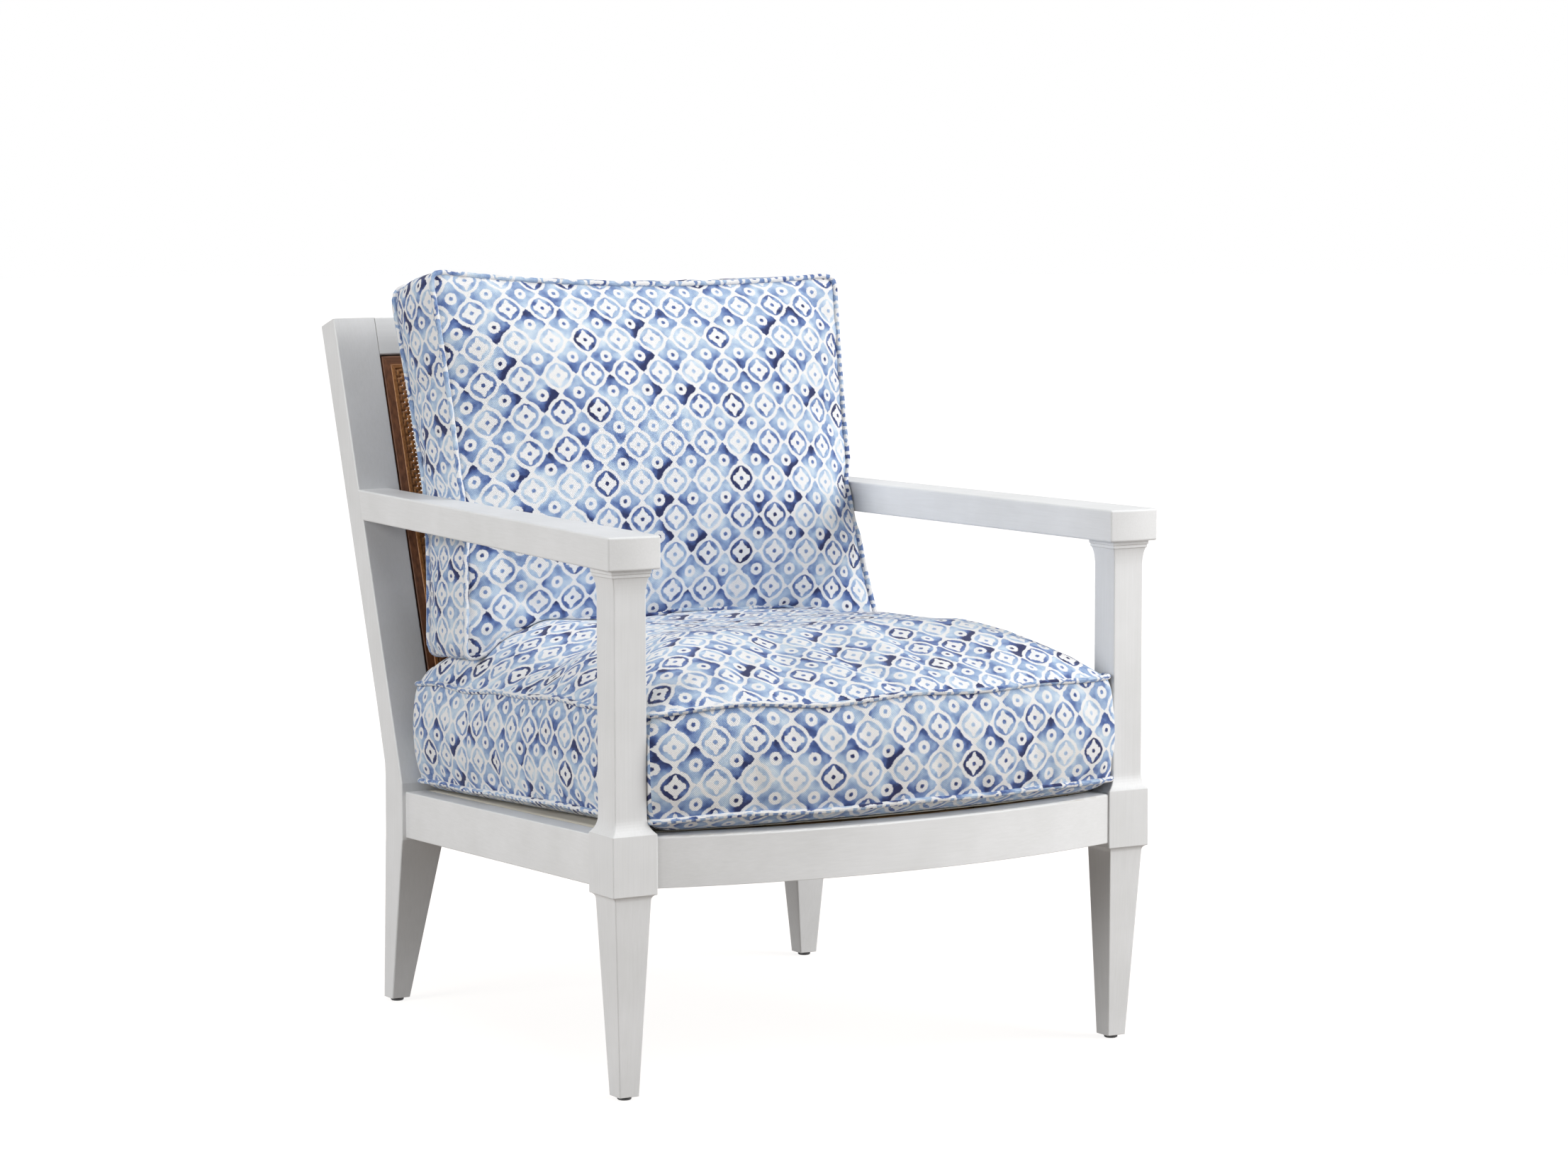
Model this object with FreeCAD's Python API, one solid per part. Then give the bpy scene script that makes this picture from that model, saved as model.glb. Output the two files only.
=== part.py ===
"""Upholstered armchair: painted wood frame, cane back panel, loose boxed seat and back cushions.

Left and right are as seen from the front. +X is right, +Y is backwards, +Z is up, in millimetres.
While the pieces are made, Y is counted back from the front face of the front leg blocks.
"""
import FreeCAD, Part
import math
import os

V = FreeCAD.Vector
X_AXIS = V(1, 0, 0)
Y_AXIS = V(0, 1, 0)
Z_AXIS = V(0, 0, 1)

# Front leg: foot, tapered leg, block, shaft and capital in one length of wood
GLIDE_DIAMETER = 16.5
GLIDE_HEIGHT = 4.5
GLIDE_CHAMFER = 1.0
GLIDE_NAIL_DIAMETER = 2.6
GLIDE_NAIL_LENGTH = 16.0
FOOT_SIZE = 25.5
FOOT_SETBACK = 20.0
FOOT_INSET = 18.0
LEG_TOP_SIZE = 47.0
BLOCK_SIZE = 58.0
BLOCK_HEIGHT = 70.0
BLOCK_BOTTOM = 238.5
BLOCK_OUTER_X = 369.0
LEG_COVE_HEIGHT = 7.0
SHAFT_SIZE = 41.5
SHAFT_INSET = 6.3
SHAFT_COVE_HEIGHT = 19.0
SHAFT_COVE_ANGLE = 50.0
CAPITAL_HEIGHT = 32.0
CAPITAL_COVE_FLARE = 3.0
CAPITAL_COVE_ANGLE = 60.0
CAPITAL_FILLET_FLARE = 4.2
CAPITAL_TOP_FLARE = 5.3
CAPITAL_BAND = 4.5
LEG_COVE_ANGLE = 85.0
BLOCK_ARRIS = 0.6
BAND_STEP = 0.5
COVE_STEPS = 6
ARRIS = 1.4

# Arms
ARM_TOP = 648.0
ARM_THICKNESS = 38.5
ARM_FRONT_WIDTH = 68.0
ARM_REAR_WIDTH = 44.5
ARM_FRONT_OUTER_X = 376.0
ARM_OVERHANG = 5.0
ARM_FRONT_BOW = 3.0
ARM_EASE = 2.5

# Rear posts: leg below the seat, raked stile above it
POST_OUTER_X = 317.3
POST_WIDTH = 58.3
POST_FRONT_Y = 648.5
POST_THICKNESS = 38.0
POST_RAIL_THICKNESS = 47.5
POST_BEND_Z = 285.0
POST_STRAIGHT_BOTTOM = 213.0
BACK_RAKE = 17.7
POST_LENGTH_ABOVE_BEND = 606.5
REAR_FOOT_WIDTH = 25.4
REAR_FOOT_DEPTH = 24.3
REAR_FOOT_SETBACK = 37.0
REAR_FOOT_INSET = 1.9
POST_TAPER_TOP = 205.0
POST_TAPER_FRONT = 2.2
POST_TAPER_REAR = 1.4
POST_RAIL_REAR = 0.6
POST_SHOULDER_LENGTH = 34.0
POST_SHOULDER_EXTRA = 2.0
POST_SLIM_LENGTH = 110.0
POST_TOP_EXTRA = 1.5
POST_ARRIS = 2.0

# Seat rails
RAIL_HEIGHT = 58.5
SIDE_RAIL_THICKNESS = 29.5
SIDE_RAIL_INSET_FRONT = 3.0
SIDE_RAIL_INSET_REAR = 5.9
SIDE_RAIL_TOP_FRONT = 304.8
SIDE_RAIL_TOP_REAR = 274.2
FRONT_RAIL_TOP = 305.0
FRONT_RAIL_HEIGHT = 59.5
FRONT_RAIL_THICKNESS = 30.0
FRONT_RAIL_BOW = 46.5
FRONT_RAIL_SETBACK = 2.0
FRONT_RAIL_EASE = 2.5
REAR_RAIL_THICKNESS = 28.0
REAR_RAIL_SETBACK = 7.5
RAIL_ARRIS = 1.5

# Back rails and cane panel, measured along the raked stile from its bend
BACK_RAIL_THICKNESS = 36.0
TOP_RAIL_HEIGHT = 49.0
BOTTOM_RAIL_BASE = 50.0
BOTTOM_RAIL_HEIGHT = 46.0
BACK_RAIL_EASE = 2.0
PANEL_REVEAL = 2.0
PANEL_SETBACK = 1.0
PANEL_MEMBER_WIDTH = 24.0
PANEL_MEMBER_DEPTH = 20.0
PANEL_MOULDING_WIDTH = 11.0
PANEL_MOULDING_EASE = 2.0
SPLINE_WIDTH = 6.3
SPLINE_DEPTH = 5.0
SPLINE_PROUD = 1.0
SPLINE_EASE_SHARE = 0.3
CANE_THICKNESS = 2.0
STOP_SIZE = 14.0
PANEL_SCREW_DIAMETER = 3.5
PANEL_SCREW_HEAD = 7.0
PANEL_SCREW_HEAD_HEIGHT = 2.4
PANEL_SCREW_LENGTH = 26.0
PANEL_SCREW_INSET = 60.0

# Dowels and screws
DOWEL_DIAMETER = 10.0
DOWEL_LENGTH = 46.0
DOWEL_PITCH = 26.0
DOWEL_CLEARANCE = 0.1
DOWEL_END_GAP = 1.0
ARM_SCREW_DIAMETER = 6.0
ARM_SCREW_HEAD = 12.0
ARM_SCREW_HEAD_HEIGHT = 3.5
ARM_SCREW_REACH = 42.0
ARM_SCREW_SLOT_DEPTH = 1.2
ARM_SCREW_SLOT_WIDTH = 1.6
ARM_SCREW_SLOT_LENGTH = 10.0
ARM_PLUG_DEPTH = 8.0
ARM_PLUG_GAP = 0.3
ARM_PLUG_PROUD = 1.0
SCREW_CLEARANCE = 0.15
CORNER_BLOCK_HEIGHT = 30.0
CORNER_BLOCK_LEG = 52.0
BLOCK_SCREW_DIAMETER = 4.5
BLOCK_SCREW_HEAD = 8.5
BLOCK_SCREW_HEAD_HEIGHT = 3.0
BLOCK_SCREW_BITE = 22.0
BLOCK_SCREW_GRIP = 14.0
BLOCK_SCREW_PLACE = 28.6
BLOCK_SCREW_STAGGER = 6.0
BLOCK_SCREW_ACCESS = 60.0
DECK_SCREW_BITE = 9.0
DECK_SCREW_FRONT_INSET = 8.0
DECK_SCREW_REAR_INSET = 4.0
DECK_SCREW_REAR_SETBACK = 14.0

# Seat deck, laid in the plane of the rail tops
DECK_STRIP_WIDTH = 48.0
DECK_STRIP_THICKNESS = 12.0
DECK_EDGE_GAP = 1.0
WEBBING_THICKNESS = 1.4
WEBBING_WIDTH = 50.0
WEBBING_EDGE = 4.0
CROSS_STRAPS = 6
LONG_STRAPS = 6
DECK_COVER_THICKNESS = 1.2
DUST_COVER_THICKNESS = 0.8
DUST_COVER_CORNER = 66.0
DUST_COVER_FRONT_CUT = 20.0
DUST_COVER_REAR_CUT = 6.0

# Loose cushions
WELT_DIAMETER = 6.0
WELT_GAP = 0.4
SOFT_GAP = 0.4
CORE_WALL = 16.0
CORE_GAP = 0.5
ZIP_WIDTH = 22.0
ZIP_THICKNESS = 1.5
SEAT_LEG_GAP = 0.9
SEAT_REAR_INSET = 29.3
SEAT_FRONT_BOW = 44.0
SEAT_SIDE_BOW = 1.5
SEAT_REAR_GAP = 2.0
SEAT_FRONT_Y = 0.0
SEAT_CORNER_RADIUS = 20.0
SEAT_WELT_LOW = 15.0
SEAT_BOXING = 126.0
SEAT_CROWN = 82.0
SEAT_CROWN_POWER = 3.8
SEAT_BULGE = 4.5
SEAT_ZIP_LENGTH = 420.0
BACK_LEAN = 12.2
BACK_ARM_GAP = 1.5
BACK_BOXING = 127.0
BACK_HEIGHT = 463.0
BACK_BOTTOM_ARCH = 42.0
BACK_TOP_DIP = 10.0
BACK_SIDE_DRAW = 4.0
BACK_CORNER_RADIUS = 20.0
BACK_FRONT_CROWN = 56.0
BACK_REAR_CROWN = 86.0
BACK_CROWN_POWER = 2.4
BACK_CROWN_REACH = 0.82
BACK_BULGE = 4.0
BACK_ZIP_LENGTH = 400.0
BACK_DROP = 40.0
CROWN_STEPS = (0.04, 0.11, 0.21, 0.34, 0.5, 0.68)
REST_STEPS = ((1.0, 2.3), (0.8, 1.35), (0.42, 0.62))
BOXING_STEPS = (0.0, 0.16, 0.34, 0.5, 0.66, 0.84, 1.0)
BOXING_SWELL_POWER = 0.7
CROWN_CORNER_GROWTH = 0.3
CROWN_CORNER_LIMIT = 0.45
SETTLE_STEPS = 4

# Tools: how far cuts run past a face, a reach past every piece, and the fineness of measuring
CUT_MARGIN = 1.0
FAR = 1000.0
MEASURE_STEP = 0.3


def rounded_outline(corners, radius):
    """Closed wire through coplanar corners, each corner replaced by a tangent arc."""
    count = len(corners)
    radii = radius if isinstance(radius, (list, tuple)) else [radius] * count
    starts, middles, ends = [], [], []
    for i in range(count):
        corner = corners[i]
        back = (corners[i - 1] - corner).normalize()
        ahead = (corners[(i + 1) % count] - corner).normalize()
        half = back.getAngle(ahead) / 2
        bisector = (back + ahead).normalize()
        cut = radii[i] / math.tan(half)
        starts.append(corner + back * cut)
        ends.append(corner + ahead * cut)
        middles.append(corner + bisector * (radii[i] / math.sin(half) - radii[i]))
    edges = []
    for i in range(count):
        edges.append(Part.Arc(starts[i], middles[i], ends[i]).toShape())
        edges.append(Part.makeLine(ends[i], starts[(i + 1) % count]))
    return Part.Wire(edges)


def polygon_prism(corners, bottom, height):
    """Upright prism on a polygon of (x, y) corners."""
    points = [V(x, y, bottom) for x, y in corners]
    face = Part.Face(Part.makePolygon(points + points[:1]))
    return face.extrude(V(0, 0, height))


def box(x0, x1, y0, y1, z0, z1):
    return Part.makeBox(x1 - x0, y1 - y0, z1 - z0, V(x0, y0, z0))


def cylinder(diameter, start, direction, length):
    return Part.makeCylinder(diameter / 2, length, start, direction)


def mirrored(shape):
    return shape.mirror(V(0, 0, 0), X_AXIS)


def both_sides(shapes):
    return list(shapes) + [mirrored(shape) for shape in shapes]


def cut_all(shape, tools):
    return shape.cut(tools) if tools else shape


def loft(wires):
    return Part.makeLoft(wires, True, True)


def on_rake(shape):
    """From stile coordinates (x, depth behind the front face, height along the stile) to the chair."""
    placed = shape.copy()
    placed.rotate(V(0, 0, 0), X_AXIS, -BACK_RAKE)
    placed.translate(V(0, POST_FRONT_Y, POST_BEND_Z))
    return placed


def on_deck(shape):
    """From deck coordinates, with Z counted from the rail tops, to the chair."""
    placed = shape.copy()
    placed.rotate(V(0, BLOCK_SIZE, 0), X_AXIS, -deck_slope())
    placed.translate(V(0, 0, SIDE_RAIL_TOP_FRONT))
    return placed


def on_back_cushion(shape):
    """From cushion coordinates (x, depth behind the front welt, height along the lean) to a place
    clear of the seat and the cane, from which the cushion is settled."""
    placed = shape.copy()
    placed.rotate(V(0, 0, 0), X_AXIS, -BACK_LEAN)
    seat_top = SIDE_RAIL_TOP_FRONT + SEAT_WELT_LOW + SEAT_BOXING
    placed.translate(V(0, back_welt_y() - BACK_DROP, seat_top + BACK_DROP))
    return placed


def back_welt_y():
    """Y of the back cushion's front welt, about level with the arms, when its crown meets the cane."""
    return post_face_y(ARM_TOP) - BACK_BOXING - BACK_REAR_CROWN


def settle(shape, support, direction):
    """Distance that shape can move along direction until it lies SOFT_GAP from support."""
    moved = shape.copy()
    travel = 0.0
    for _ in range(SETTLE_STEPS):
        step = moved.distToShape(support)[0] - SOFT_GAP
        moved.translate(direction * step)
        travel += step
    return travel


def deck_slope():
    fall = SIDE_RAIL_TOP_FRONT - SIDE_RAIL_TOP_REAR
    return math.degrees(math.atan2(fall, POST_FRONT_Y - BLOCK_SIZE))


def post_face_y(z):
    """Y of the stile's front face at height z above the bend."""
    return POST_FRONT_Y + (z - POST_BEND_Z) * math.tan(math.radians(BACK_RAKE))


def shaft_inner_x():
    return BLOCK_OUTER_X - SHAFT_INSET - SHAFT_SIZE


def rail_outer_x(y):
    front = BLOCK_OUTER_X - SIDE_RAIL_INSET_FRONT
    rear = POST_OUTER_X - SIDE_RAIL_INSET_REAR
    return front + (rear - front) * (y - BLOCK_SIZE) / (POST_FRONT_Y - BLOCK_SIZE)


def rail_inner_x(y):
    return rail_outer_x(y) - SIDE_RAIL_THICKNESS


def front_rail_arc(setback):
    """Arc of the bowed front rail, moved back from its outer face by setback."""
    half = BLOCK_OUTER_X - BLOCK_SIZE
    radius = (half ** 2 + FRONT_RAIL_BOW ** 2) / (2 * FRONT_RAIL_BOW)
    centre_y = FRONT_RAIL_SETBACK - FRONT_RAIL_BOW + radius
    return radius - setback, centre_y


def front_rail_y(x, setback):
    radius, centre_y = front_rail_arc(setback)
    return centre_y - math.sqrt(radius ** 2 - x ** 2)


def cove(angle, steps):
    """Pairs (share of height, share of flare) along an arc that starts tangent to the shaft."""
    pairs = []
    for i in range(steps + 1):
        turn = math.radians(angle) * i / steps
        height = math.sin(turn) / math.sin(math.radians(angle))
        flare = (1 - math.cos(turn)) / (1 - math.cos(math.radians(angle)))
        pairs.append((height, flare))
    return pairs


def front_leg_sections():
    """Heights and squares (x0, x1, y0, y1) of the right front leg from the foot up."""
    block = (BLOCK_OUTER_X - BLOCK_SIZE, BLOCK_OUTER_X, 0.0, BLOCK_SIZE)
    shaft = (shaft_inner_x(), shaft_inner_x() + SHAFT_SIZE, SHAFT_INSET, SHAFT_INSET + SHAFT_SIZE)
    leg_inset = (BLOCK_SIZE - LEG_TOP_SIZE) / 2
    leg = (block[0] + leg_inset, block[1] - leg_inset, leg_inset, leg_inset + LEG_TOP_SIZE)
    foot_x = BLOCK_OUTER_X - FOOT_INSET
    foot = (foot_x - FOOT_SIZE, foot_x, FOOT_SETBACK, FOOT_SETBACK + FOOT_SIZE)

    def between(a, b, share):
        return tuple(p + (q - p) * share for p, q in zip(a, b))

    def flared(square, by):
        return (square[0] - by, square[1] + by, square[2] - by, square[3] + by)

    sections = [(GLIDE_HEIGHT, foot)]
    leg_top = BLOCK_BOTTOM - LEG_COVE_HEIGHT
    for height, flare in cove(LEG_COVE_ANGLE, COVE_STEPS):
        square = between(leg, flared(block, -BLOCK_ARRIS), flare)
        sections.append((leg_top + height * LEG_COVE_HEIGHT, square))
    sections.append((BLOCK_BOTTOM + BLOCK_ARRIS, block))
    block_top = BLOCK_BOTTOM + BLOCK_HEIGHT
    sections.append((block_top - BLOCK_ARRIS, block))
    shaft_bottom = block_top + SHAFT_COVE_HEIGHT
    for height, flare in reversed(cove(SHAFT_COVE_ANGLE, COVE_STEPS)):
        square = between(shaft, flared(block, -BLOCK_ARRIS), flare)
        sections.append((shaft_bottom - height * SHAFT_COVE_HEIGHT, square))
    top = ARM_TOP - ARM_THICKNESS
    cove_bottom = top - CAPITAL_HEIGHT
    cove_height = CAPITAL_HEIGHT - 2 * CAPITAL_BAND
    for height, flare in cove(CAPITAL_COVE_ANGLE, COVE_STEPS):
        sections.append((cove_bottom + height * cove_height, flared(shaft, CAPITAL_COVE_FLARE * flare)))
    sections.append((top - 2 * CAPITAL_BAND + BAND_STEP, flared(shaft, CAPITAL_FILLET_FLARE)))
    sections.append((top - CAPITAL_BAND - BAND_STEP, flared(shaft, CAPITAL_FILLET_FLARE)))
    sections.append((top - CAPITAL_BAND, flared(shaft, CAPITAL_TOP_FLARE)))
    sections.append((top, flared(shaft, CAPITAL_TOP_FLARE)))
    return sections


def square_middle(square):
    return (square[0] + square[1]) / 2, (square[2] + square[3]) / 2


def front_leg_right():
    wires = []
    for z, (x0, x1, y0, y1) in front_leg_sections():
        corners = [V(x0, y0, z), V(x1, y0, z), V(x1, y1, z), V(x0, y1, z)]
        wires.append(rounded_outline(corners, ARRIS))
    holes = [glide_nail(front_foot_middle(), DOWEL_CLEARANCE)]
    holes += front_rail_dowels(DOWEL_CLEARANCE) + side_rail_front_dowels(DOWEL_CLEARANCE)
    holes += arm_front_dowel(DOWEL_CLEARANCE)
    return cut_all(loft(wires), holes)


def front_foot_middle():
    return square_middle(front_leg_sections()[0][1])


def rear_post_sections():
    """Front and rear points (y, z) with inner and outer x, from the foot up, for the right post."""
    outer = POST_OUTER_X
    inner = POST_OUTER_X - POST_WIDTH
    foot_y = POST_FRONT_Y + REAR_FOOT_SETBACK
    foot_x = outer - REAR_FOOT_INSET
    rake = math.radians(BACK_RAKE)
    behind_rail = POST_FRONT_Y + POST_RAIL_THICKNESS
    levels = (
        (GLIDE_HEIGHT, foot_y, foot_y + REAR_FOOT_DEPTH, foot_x - REAR_FOOT_WIDTH, foot_x),
        (POST_TAPER_TOP, POST_FRONT_Y + POST_TAPER_FRONT, behind_rail + POST_TAPER_REAR, inner, outer),
        (POST_STRAIGHT_BOTTOM, POST_FRONT_Y, behind_rail + POST_RAIL_REAR, inner, outer),
        (POST_BEND_Z, POST_FRONT_Y, behind_rail, inner, outer),
    )
    sections = [((front, z), (rear, z), x0, x1) for z, front, rear, x0, x1 in levels]
    stile = ((POST_SHOULDER_LENGTH, POST_SHOULDER_EXTRA), (POST_SLIM_LENGTH, 0.0),
             (POST_LENGTH_ABOVE_BEND, POST_TOP_EXTRA))
    for along, extra in stile:
        depth = POST_THICKNESS + extra
        y = POST_FRONT_Y + along * math.sin(rake)
        z = POST_BEND_Z + along * math.cos(rake)
        rear = (y + depth * math.cos(rake), z - depth * math.sin(rake))
        sections.append(((y, z), rear, inner, outer))
    return sections


def rear_post_right():
    wires = []
    for (y0, z0), (y1, z1), x0, x1 in rear_post_sections():
        corners = [V(x0, y0, z0), V(x1, y0, z0), V(x1, y1, z1), V(x0, y1, z1)]
        wires.append(rounded_outline(corners, POST_ARRIS))
    holes = [glide_nail(rear_foot_middle(), DOWEL_CLEARANCE)]
    holes += side_rail_rear_dowels(DOWEL_CLEARANCE) + rear_rail_dowels(DOWEL_CLEARANCE)
    holes += back_rail_dowels(DOWEL_CLEARANCE) + [arm_screw_bore()]
    return cut_all(loft(wires), holes)


def rear_foot_middle():
    (y0, _), (y1, _), x0, x1 = rear_post_sections()[0]
    return (x0 + x1) / 2, (y0 + y1) / 2


def arm_line_x(y, front_x, rear_x):
    rear_y = post_face_y(ARM_TOP)
    return front_x + (rear_x - front_x) * (y + ARM_OVERHANG) / (rear_y + ARM_OVERHANG)


def arm_right():
    """Flat arm, wide at the front, its rear end cut to the rake of the post."""
    front_y = -ARM_OVERHANG
    far_y = post_face_y(ARM_TOP) + ARM_THICKNESS
    front_inner = ARM_FRONT_OUTER_X - ARM_FRONT_WIDTH
    rear_inner = POST_OUTER_X - ARM_REAR_WIDTH
    a = V(front_inner, front_y, 0)
    b = V(ARM_FRONT_OUTER_X, front_y, 0)
    c = V(arm_line_x(far_y, ARM_FRONT_OUTER_X, POST_OUTER_X), far_y, 0)
    d = V(arm_line_x(far_y, front_inner, rear_inner), far_y, 0)
    bow = V((a.x + b.x) / 2, front_y - ARM_FRONT_BOW, 0)
    edges = [Part.Arc(a, bow, b).toShape(), Part.makeLine(b, c), Part.makeLine(c, d), Part.makeLine(d, a)]
    plank = Part.Face(Part.Wire(edges)).extrude(V(0, 0, ARM_THICKNESS))
    plank.translate(V(0, 0, ARM_TOP - ARM_THICKNESS))
    long_edges = [e for e in plank.Edges if e.BoundBox.YMin < far_y - CUT_MARGIN]
    eased = plank.makeFillet(ARM_EASE, long_edges)
    behind_face = on_rake(box(0, FAR, 0, FAR, 0, POST_LENGTH_ABOVE_BEND))
    holes = arm_front_dowel(DOWEL_CLEARANCE) + [arm_screw_bore()]
    return eased.cut(behind_face).cut(holes)


def side_rail_right():
    """Straight rail that falls and turns in towards the back."""
    wires = []
    ends = ((BLOCK_SIZE, SIDE_RAIL_TOP_FRONT), (POST_FRONT_Y, SIDE_RAIL_TOP_REAR))
    for y, top in ends:
        x0, x1 = rail_inner_x(y), rail_outer_x(y)
        corners = [V(x0, y, top - RAIL_HEIGHT), V(x1, y, top - RAIL_HEIGHT), V(x1, y, top), V(x0, y, top)]
        wires.append(rounded_outline(corners, RAIL_ARRIS))
    holes = side_rail_front_dowels(DOWEL_CLEARANCE) + side_rail_rear_dowels(DOWEL_CLEARANCE)
    return cut_all(loft(wires), holes + corner_screw_holes())


def front_rail():
    """Bowed rail between the front blocks, its outer top edge eased."""
    outer_radius, centre_y = front_rail_arc(0.0)
    half = BLOCK_OUTER_X - BLOCK_SIZE
    bottom = FRONT_RAIL_TOP - FRONT_RAIL_HEIGHT
    ring = Part.makeCylinder(outer_radius, FRONT_RAIL_HEIGHT, V(0, centre_y, bottom))
    core = Part.makeCylinder(outer_radius - FRONT_RAIL_THICKNESS, FRONT_RAIL_HEIGHT, V(0, centre_y, bottom))
    rail = ring.cut(core).common(box(-half, half, -FAR, FAR, bottom, FRONT_RAIL_TOP))
    top_edges = [e for e in rail.Edges if e.BoundBox.ZMin > FRONT_RAIL_TOP - FRONT_RAIL_EASE]
    outer_edge = min(top_edges, key=lambda e: e.BoundBox.YMin)
    rail = rail.makeFillet(FRONT_RAIL_EASE, [outer_edge])
    return rail.cut(both_sides(front_rail_dowels(DOWEL_CLEARANCE) + front_corner_screw_holes()))


def rear_rail():
    half = POST_OUTER_X - POST_WIDTH
    y0 = POST_FRONT_Y + REAR_RAIL_SETBACK
    bottom = SIDE_RAIL_TOP_REAR - RAIL_HEIGHT
    rail = box(-half, half, y0, y0 + REAR_RAIL_THICKNESS, bottom, SIDE_RAIL_TOP_REAR)
    return rail.cut(both_sides(rear_rail_dowels(DOWEL_CLEARANCE) + rear_corner_screw_holes()))


def back_rail(base, height):
    """Straight rail between the stiles, in stile coordinates until it is placed."""
    half = POST_OUTER_X - POST_WIDTH
    rail = box(-half, half, 0, BACK_RAIL_THICKNESS, base, base + height)
    long_edges = [e for e in rail.Edges if e.BoundBox.XLength > half]
    eased = on_rake(rail.makeFillet(BACK_RAIL_EASE, long_edges))
    return eased.cut(both_sides(back_rail_dowels(DOWEL_CLEARANCE)))


def top_rail_base():
    return POST_LENGTH_ABOVE_BEND - TOP_RAIL_HEIGHT


def dowel(middle, direction, clearance):
    """Dowel about its middle, or the hole for it when clearance is above zero."""
    reach = DOWEL_LENGTH / 2 + (DOWEL_END_GAP if clearance else 0.0)
    return cylinder(DOWEL_DIAMETER + 2 * clearance, middle - direction * reach, direction, 2 * reach)


def dowel_pair(middle, pitch_direction, direction, clearance):
    offset = pitch_direction * (DOWEL_PITCH / 2)
    return [dowel(middle - offset, direction, clearance), dowel(middle + offset, direction, clearance)]


def side_rail_front_dowels(clearance):
    x = (rail_inner_x(BLOCK_SIZE) + rail_outer_x(BLOCK_SIZE)) / 2
    middle = V(x, BLOCK_SIZE, SIDE_RAIL_TOP_FRONT - RAIL_HEIGHT / 2)
    return dowel_pair(middle, Z_AXIS, Y_AXIS, clearance)


def side_rail_rear_dowels(clearance):
    x = (rail_inner_x(POST_FRONT_Y) + rail_outer_x(POST_FRONT_Y)) / 2
    middle = V(x, POST_FRONT_Y, SIDE_RAIL_TOP_REAR - RAIL_HEIGHT / 2)
    return dowel_pair(middle, Z_AXIS, Y_AXIS, clearance)


def front_rail_dowels(clearance):
    half = BLOCK_OUTER_X - BLOCK_SIZE
    y = front_rail_y(half, FRONT_RAIL_THICKNESS / 2)
    middle = V(half, y, FRONT_RAIL_TOP - FRONT_RAIL_HEIGHT / 2)
    return dowel_pair(middle, Z_AXIS, X_AXIS, clearance)


def rear_rail_dowels(clearance):
    y = POST_FRONT_Y + REAR_RAIL_SETBACK + REAR_RAIL_THICKNESS / 2
    middle = V(POST_OUTER_X - POST_WIDTH, y, SIDE_RAIL_TOP_REAR - RAIL_HEIGHT / 2)
    return dowel_pair(middle, Z_AXIS, X_AXIS, clearance)


def back_rail_dowels(clearance):
    """Dowels of the two back rails in the right stile."""
    half = POST_OUTER_X - POST_WIDTH
    dowels = []
    for base, height in ((top_rail_base(), TOP_RAIL_HEIGHT), (BOTTOM_RAIL_BASE, BOTTOM_RAIL_HEIGHT)):
        middle = V(half, BACK_RAIL_THICKNESS / 2, base + height / 2)
        dowels += [on_rake(d) for d in dowel_pair(middle, Z_AXIS, X_AXIS, clearance)]
    return dowels


def arm_front_dowel(clearance):
    x, y = square_middle(front_leg_sections()[-1][1])
    return [dowel(V(x, y, ARM_TOP - ARM_THICKNESS), Z_AXIS, clearance)]


def arm_screw_axis():
    """Middle of the arm's rear end in stile coordinates (x, height along the stile)."""
    x = POST_OUTER_X - ARM_REAR_WIDTH / 2
    z = ARM_TOP - ARM_THICKNESS / 2
    return x, (z - POST_BEND_Z) / math.cos(math.radians(BACK_RAKE))


def arm_screw():
    x, along = arm_screw_axis()
    head_top = POST_THICKNESS - ARM_PLUG_DEPTH
    head_seat = head_top - ARM_SCREW_HEAD_HEIGHT
    shank = cylinder(ARM_SCREW_DIAMETER, V(x, -ARM_SCREW_REACH, along), Y_AXIS, ARM_SCREW_REACH + head_seat)
    head = cylinder(ARM_SCREW_HEAD, V(x, head_seat, along), Y_AXIS, ARM_SCREW_HEAD_HEIGHT)
    half, width = ARM_SCREW_SLOT_LENGTH / 2, ARM_SCREW_SLOT_WIDTH / 2
    slot = box(x - half, x + half, head_top - ARM_SCREW_SLOT_DEPTH, head_top + CUT_MARGIN, along - width,
               along + width)
    return on_rake(shank.fuse(head).cut(slot))


def arm_plug():
    x, along = arm_screw_axis()
    start = POST_THICKNESS - ARM_PLUG_DEPTH + ARM_PLUG_GAP
    length = ARM_PLUG_DEPTH - ARM_PLUG_GAP + ARM_PLUG_PROUD
    return on_rake(cylinder(ARM_SCREW_HEAD, V(x, start, along), Y_AXIS, length))


def arm_screw_bore():
    x, along = arm_screw_axis()
    tip = V(x, -ARM_SCREW_REACH - SCREW_CLEARANCE, along)
    shank = cylinder(ARM_SCREW_DIAMETER + 2 * SCREW_CLEARANCE, tip, Y_AXIS, ARM_SCREW_REACH + POST_THICKNESS)
    seat = POST_THICKNESS - ARM_PLUG_DEPTH - ARM_SCREW_HEAD_HEIGHT
    head = cylinder(ARM_SCREW_HEAD + 2 * SCREW_CLEARANCE, V(x, seat, along), Y_AXIS, POST_THICKNESS)
    return on_rake(shank.fuse(head))


def glide_nail(foot, clearance):
    x, y = foot
    return cylinder(GLIDE_NAIL_DIAMETER + 2 * clearance, V(x, y, GLIDE_HEIGHT - CUT_MARGIN), Z_AXIS,
                    GLIDE_NAIL_LENGTH + CUT_MARGIN + clearance)


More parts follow.
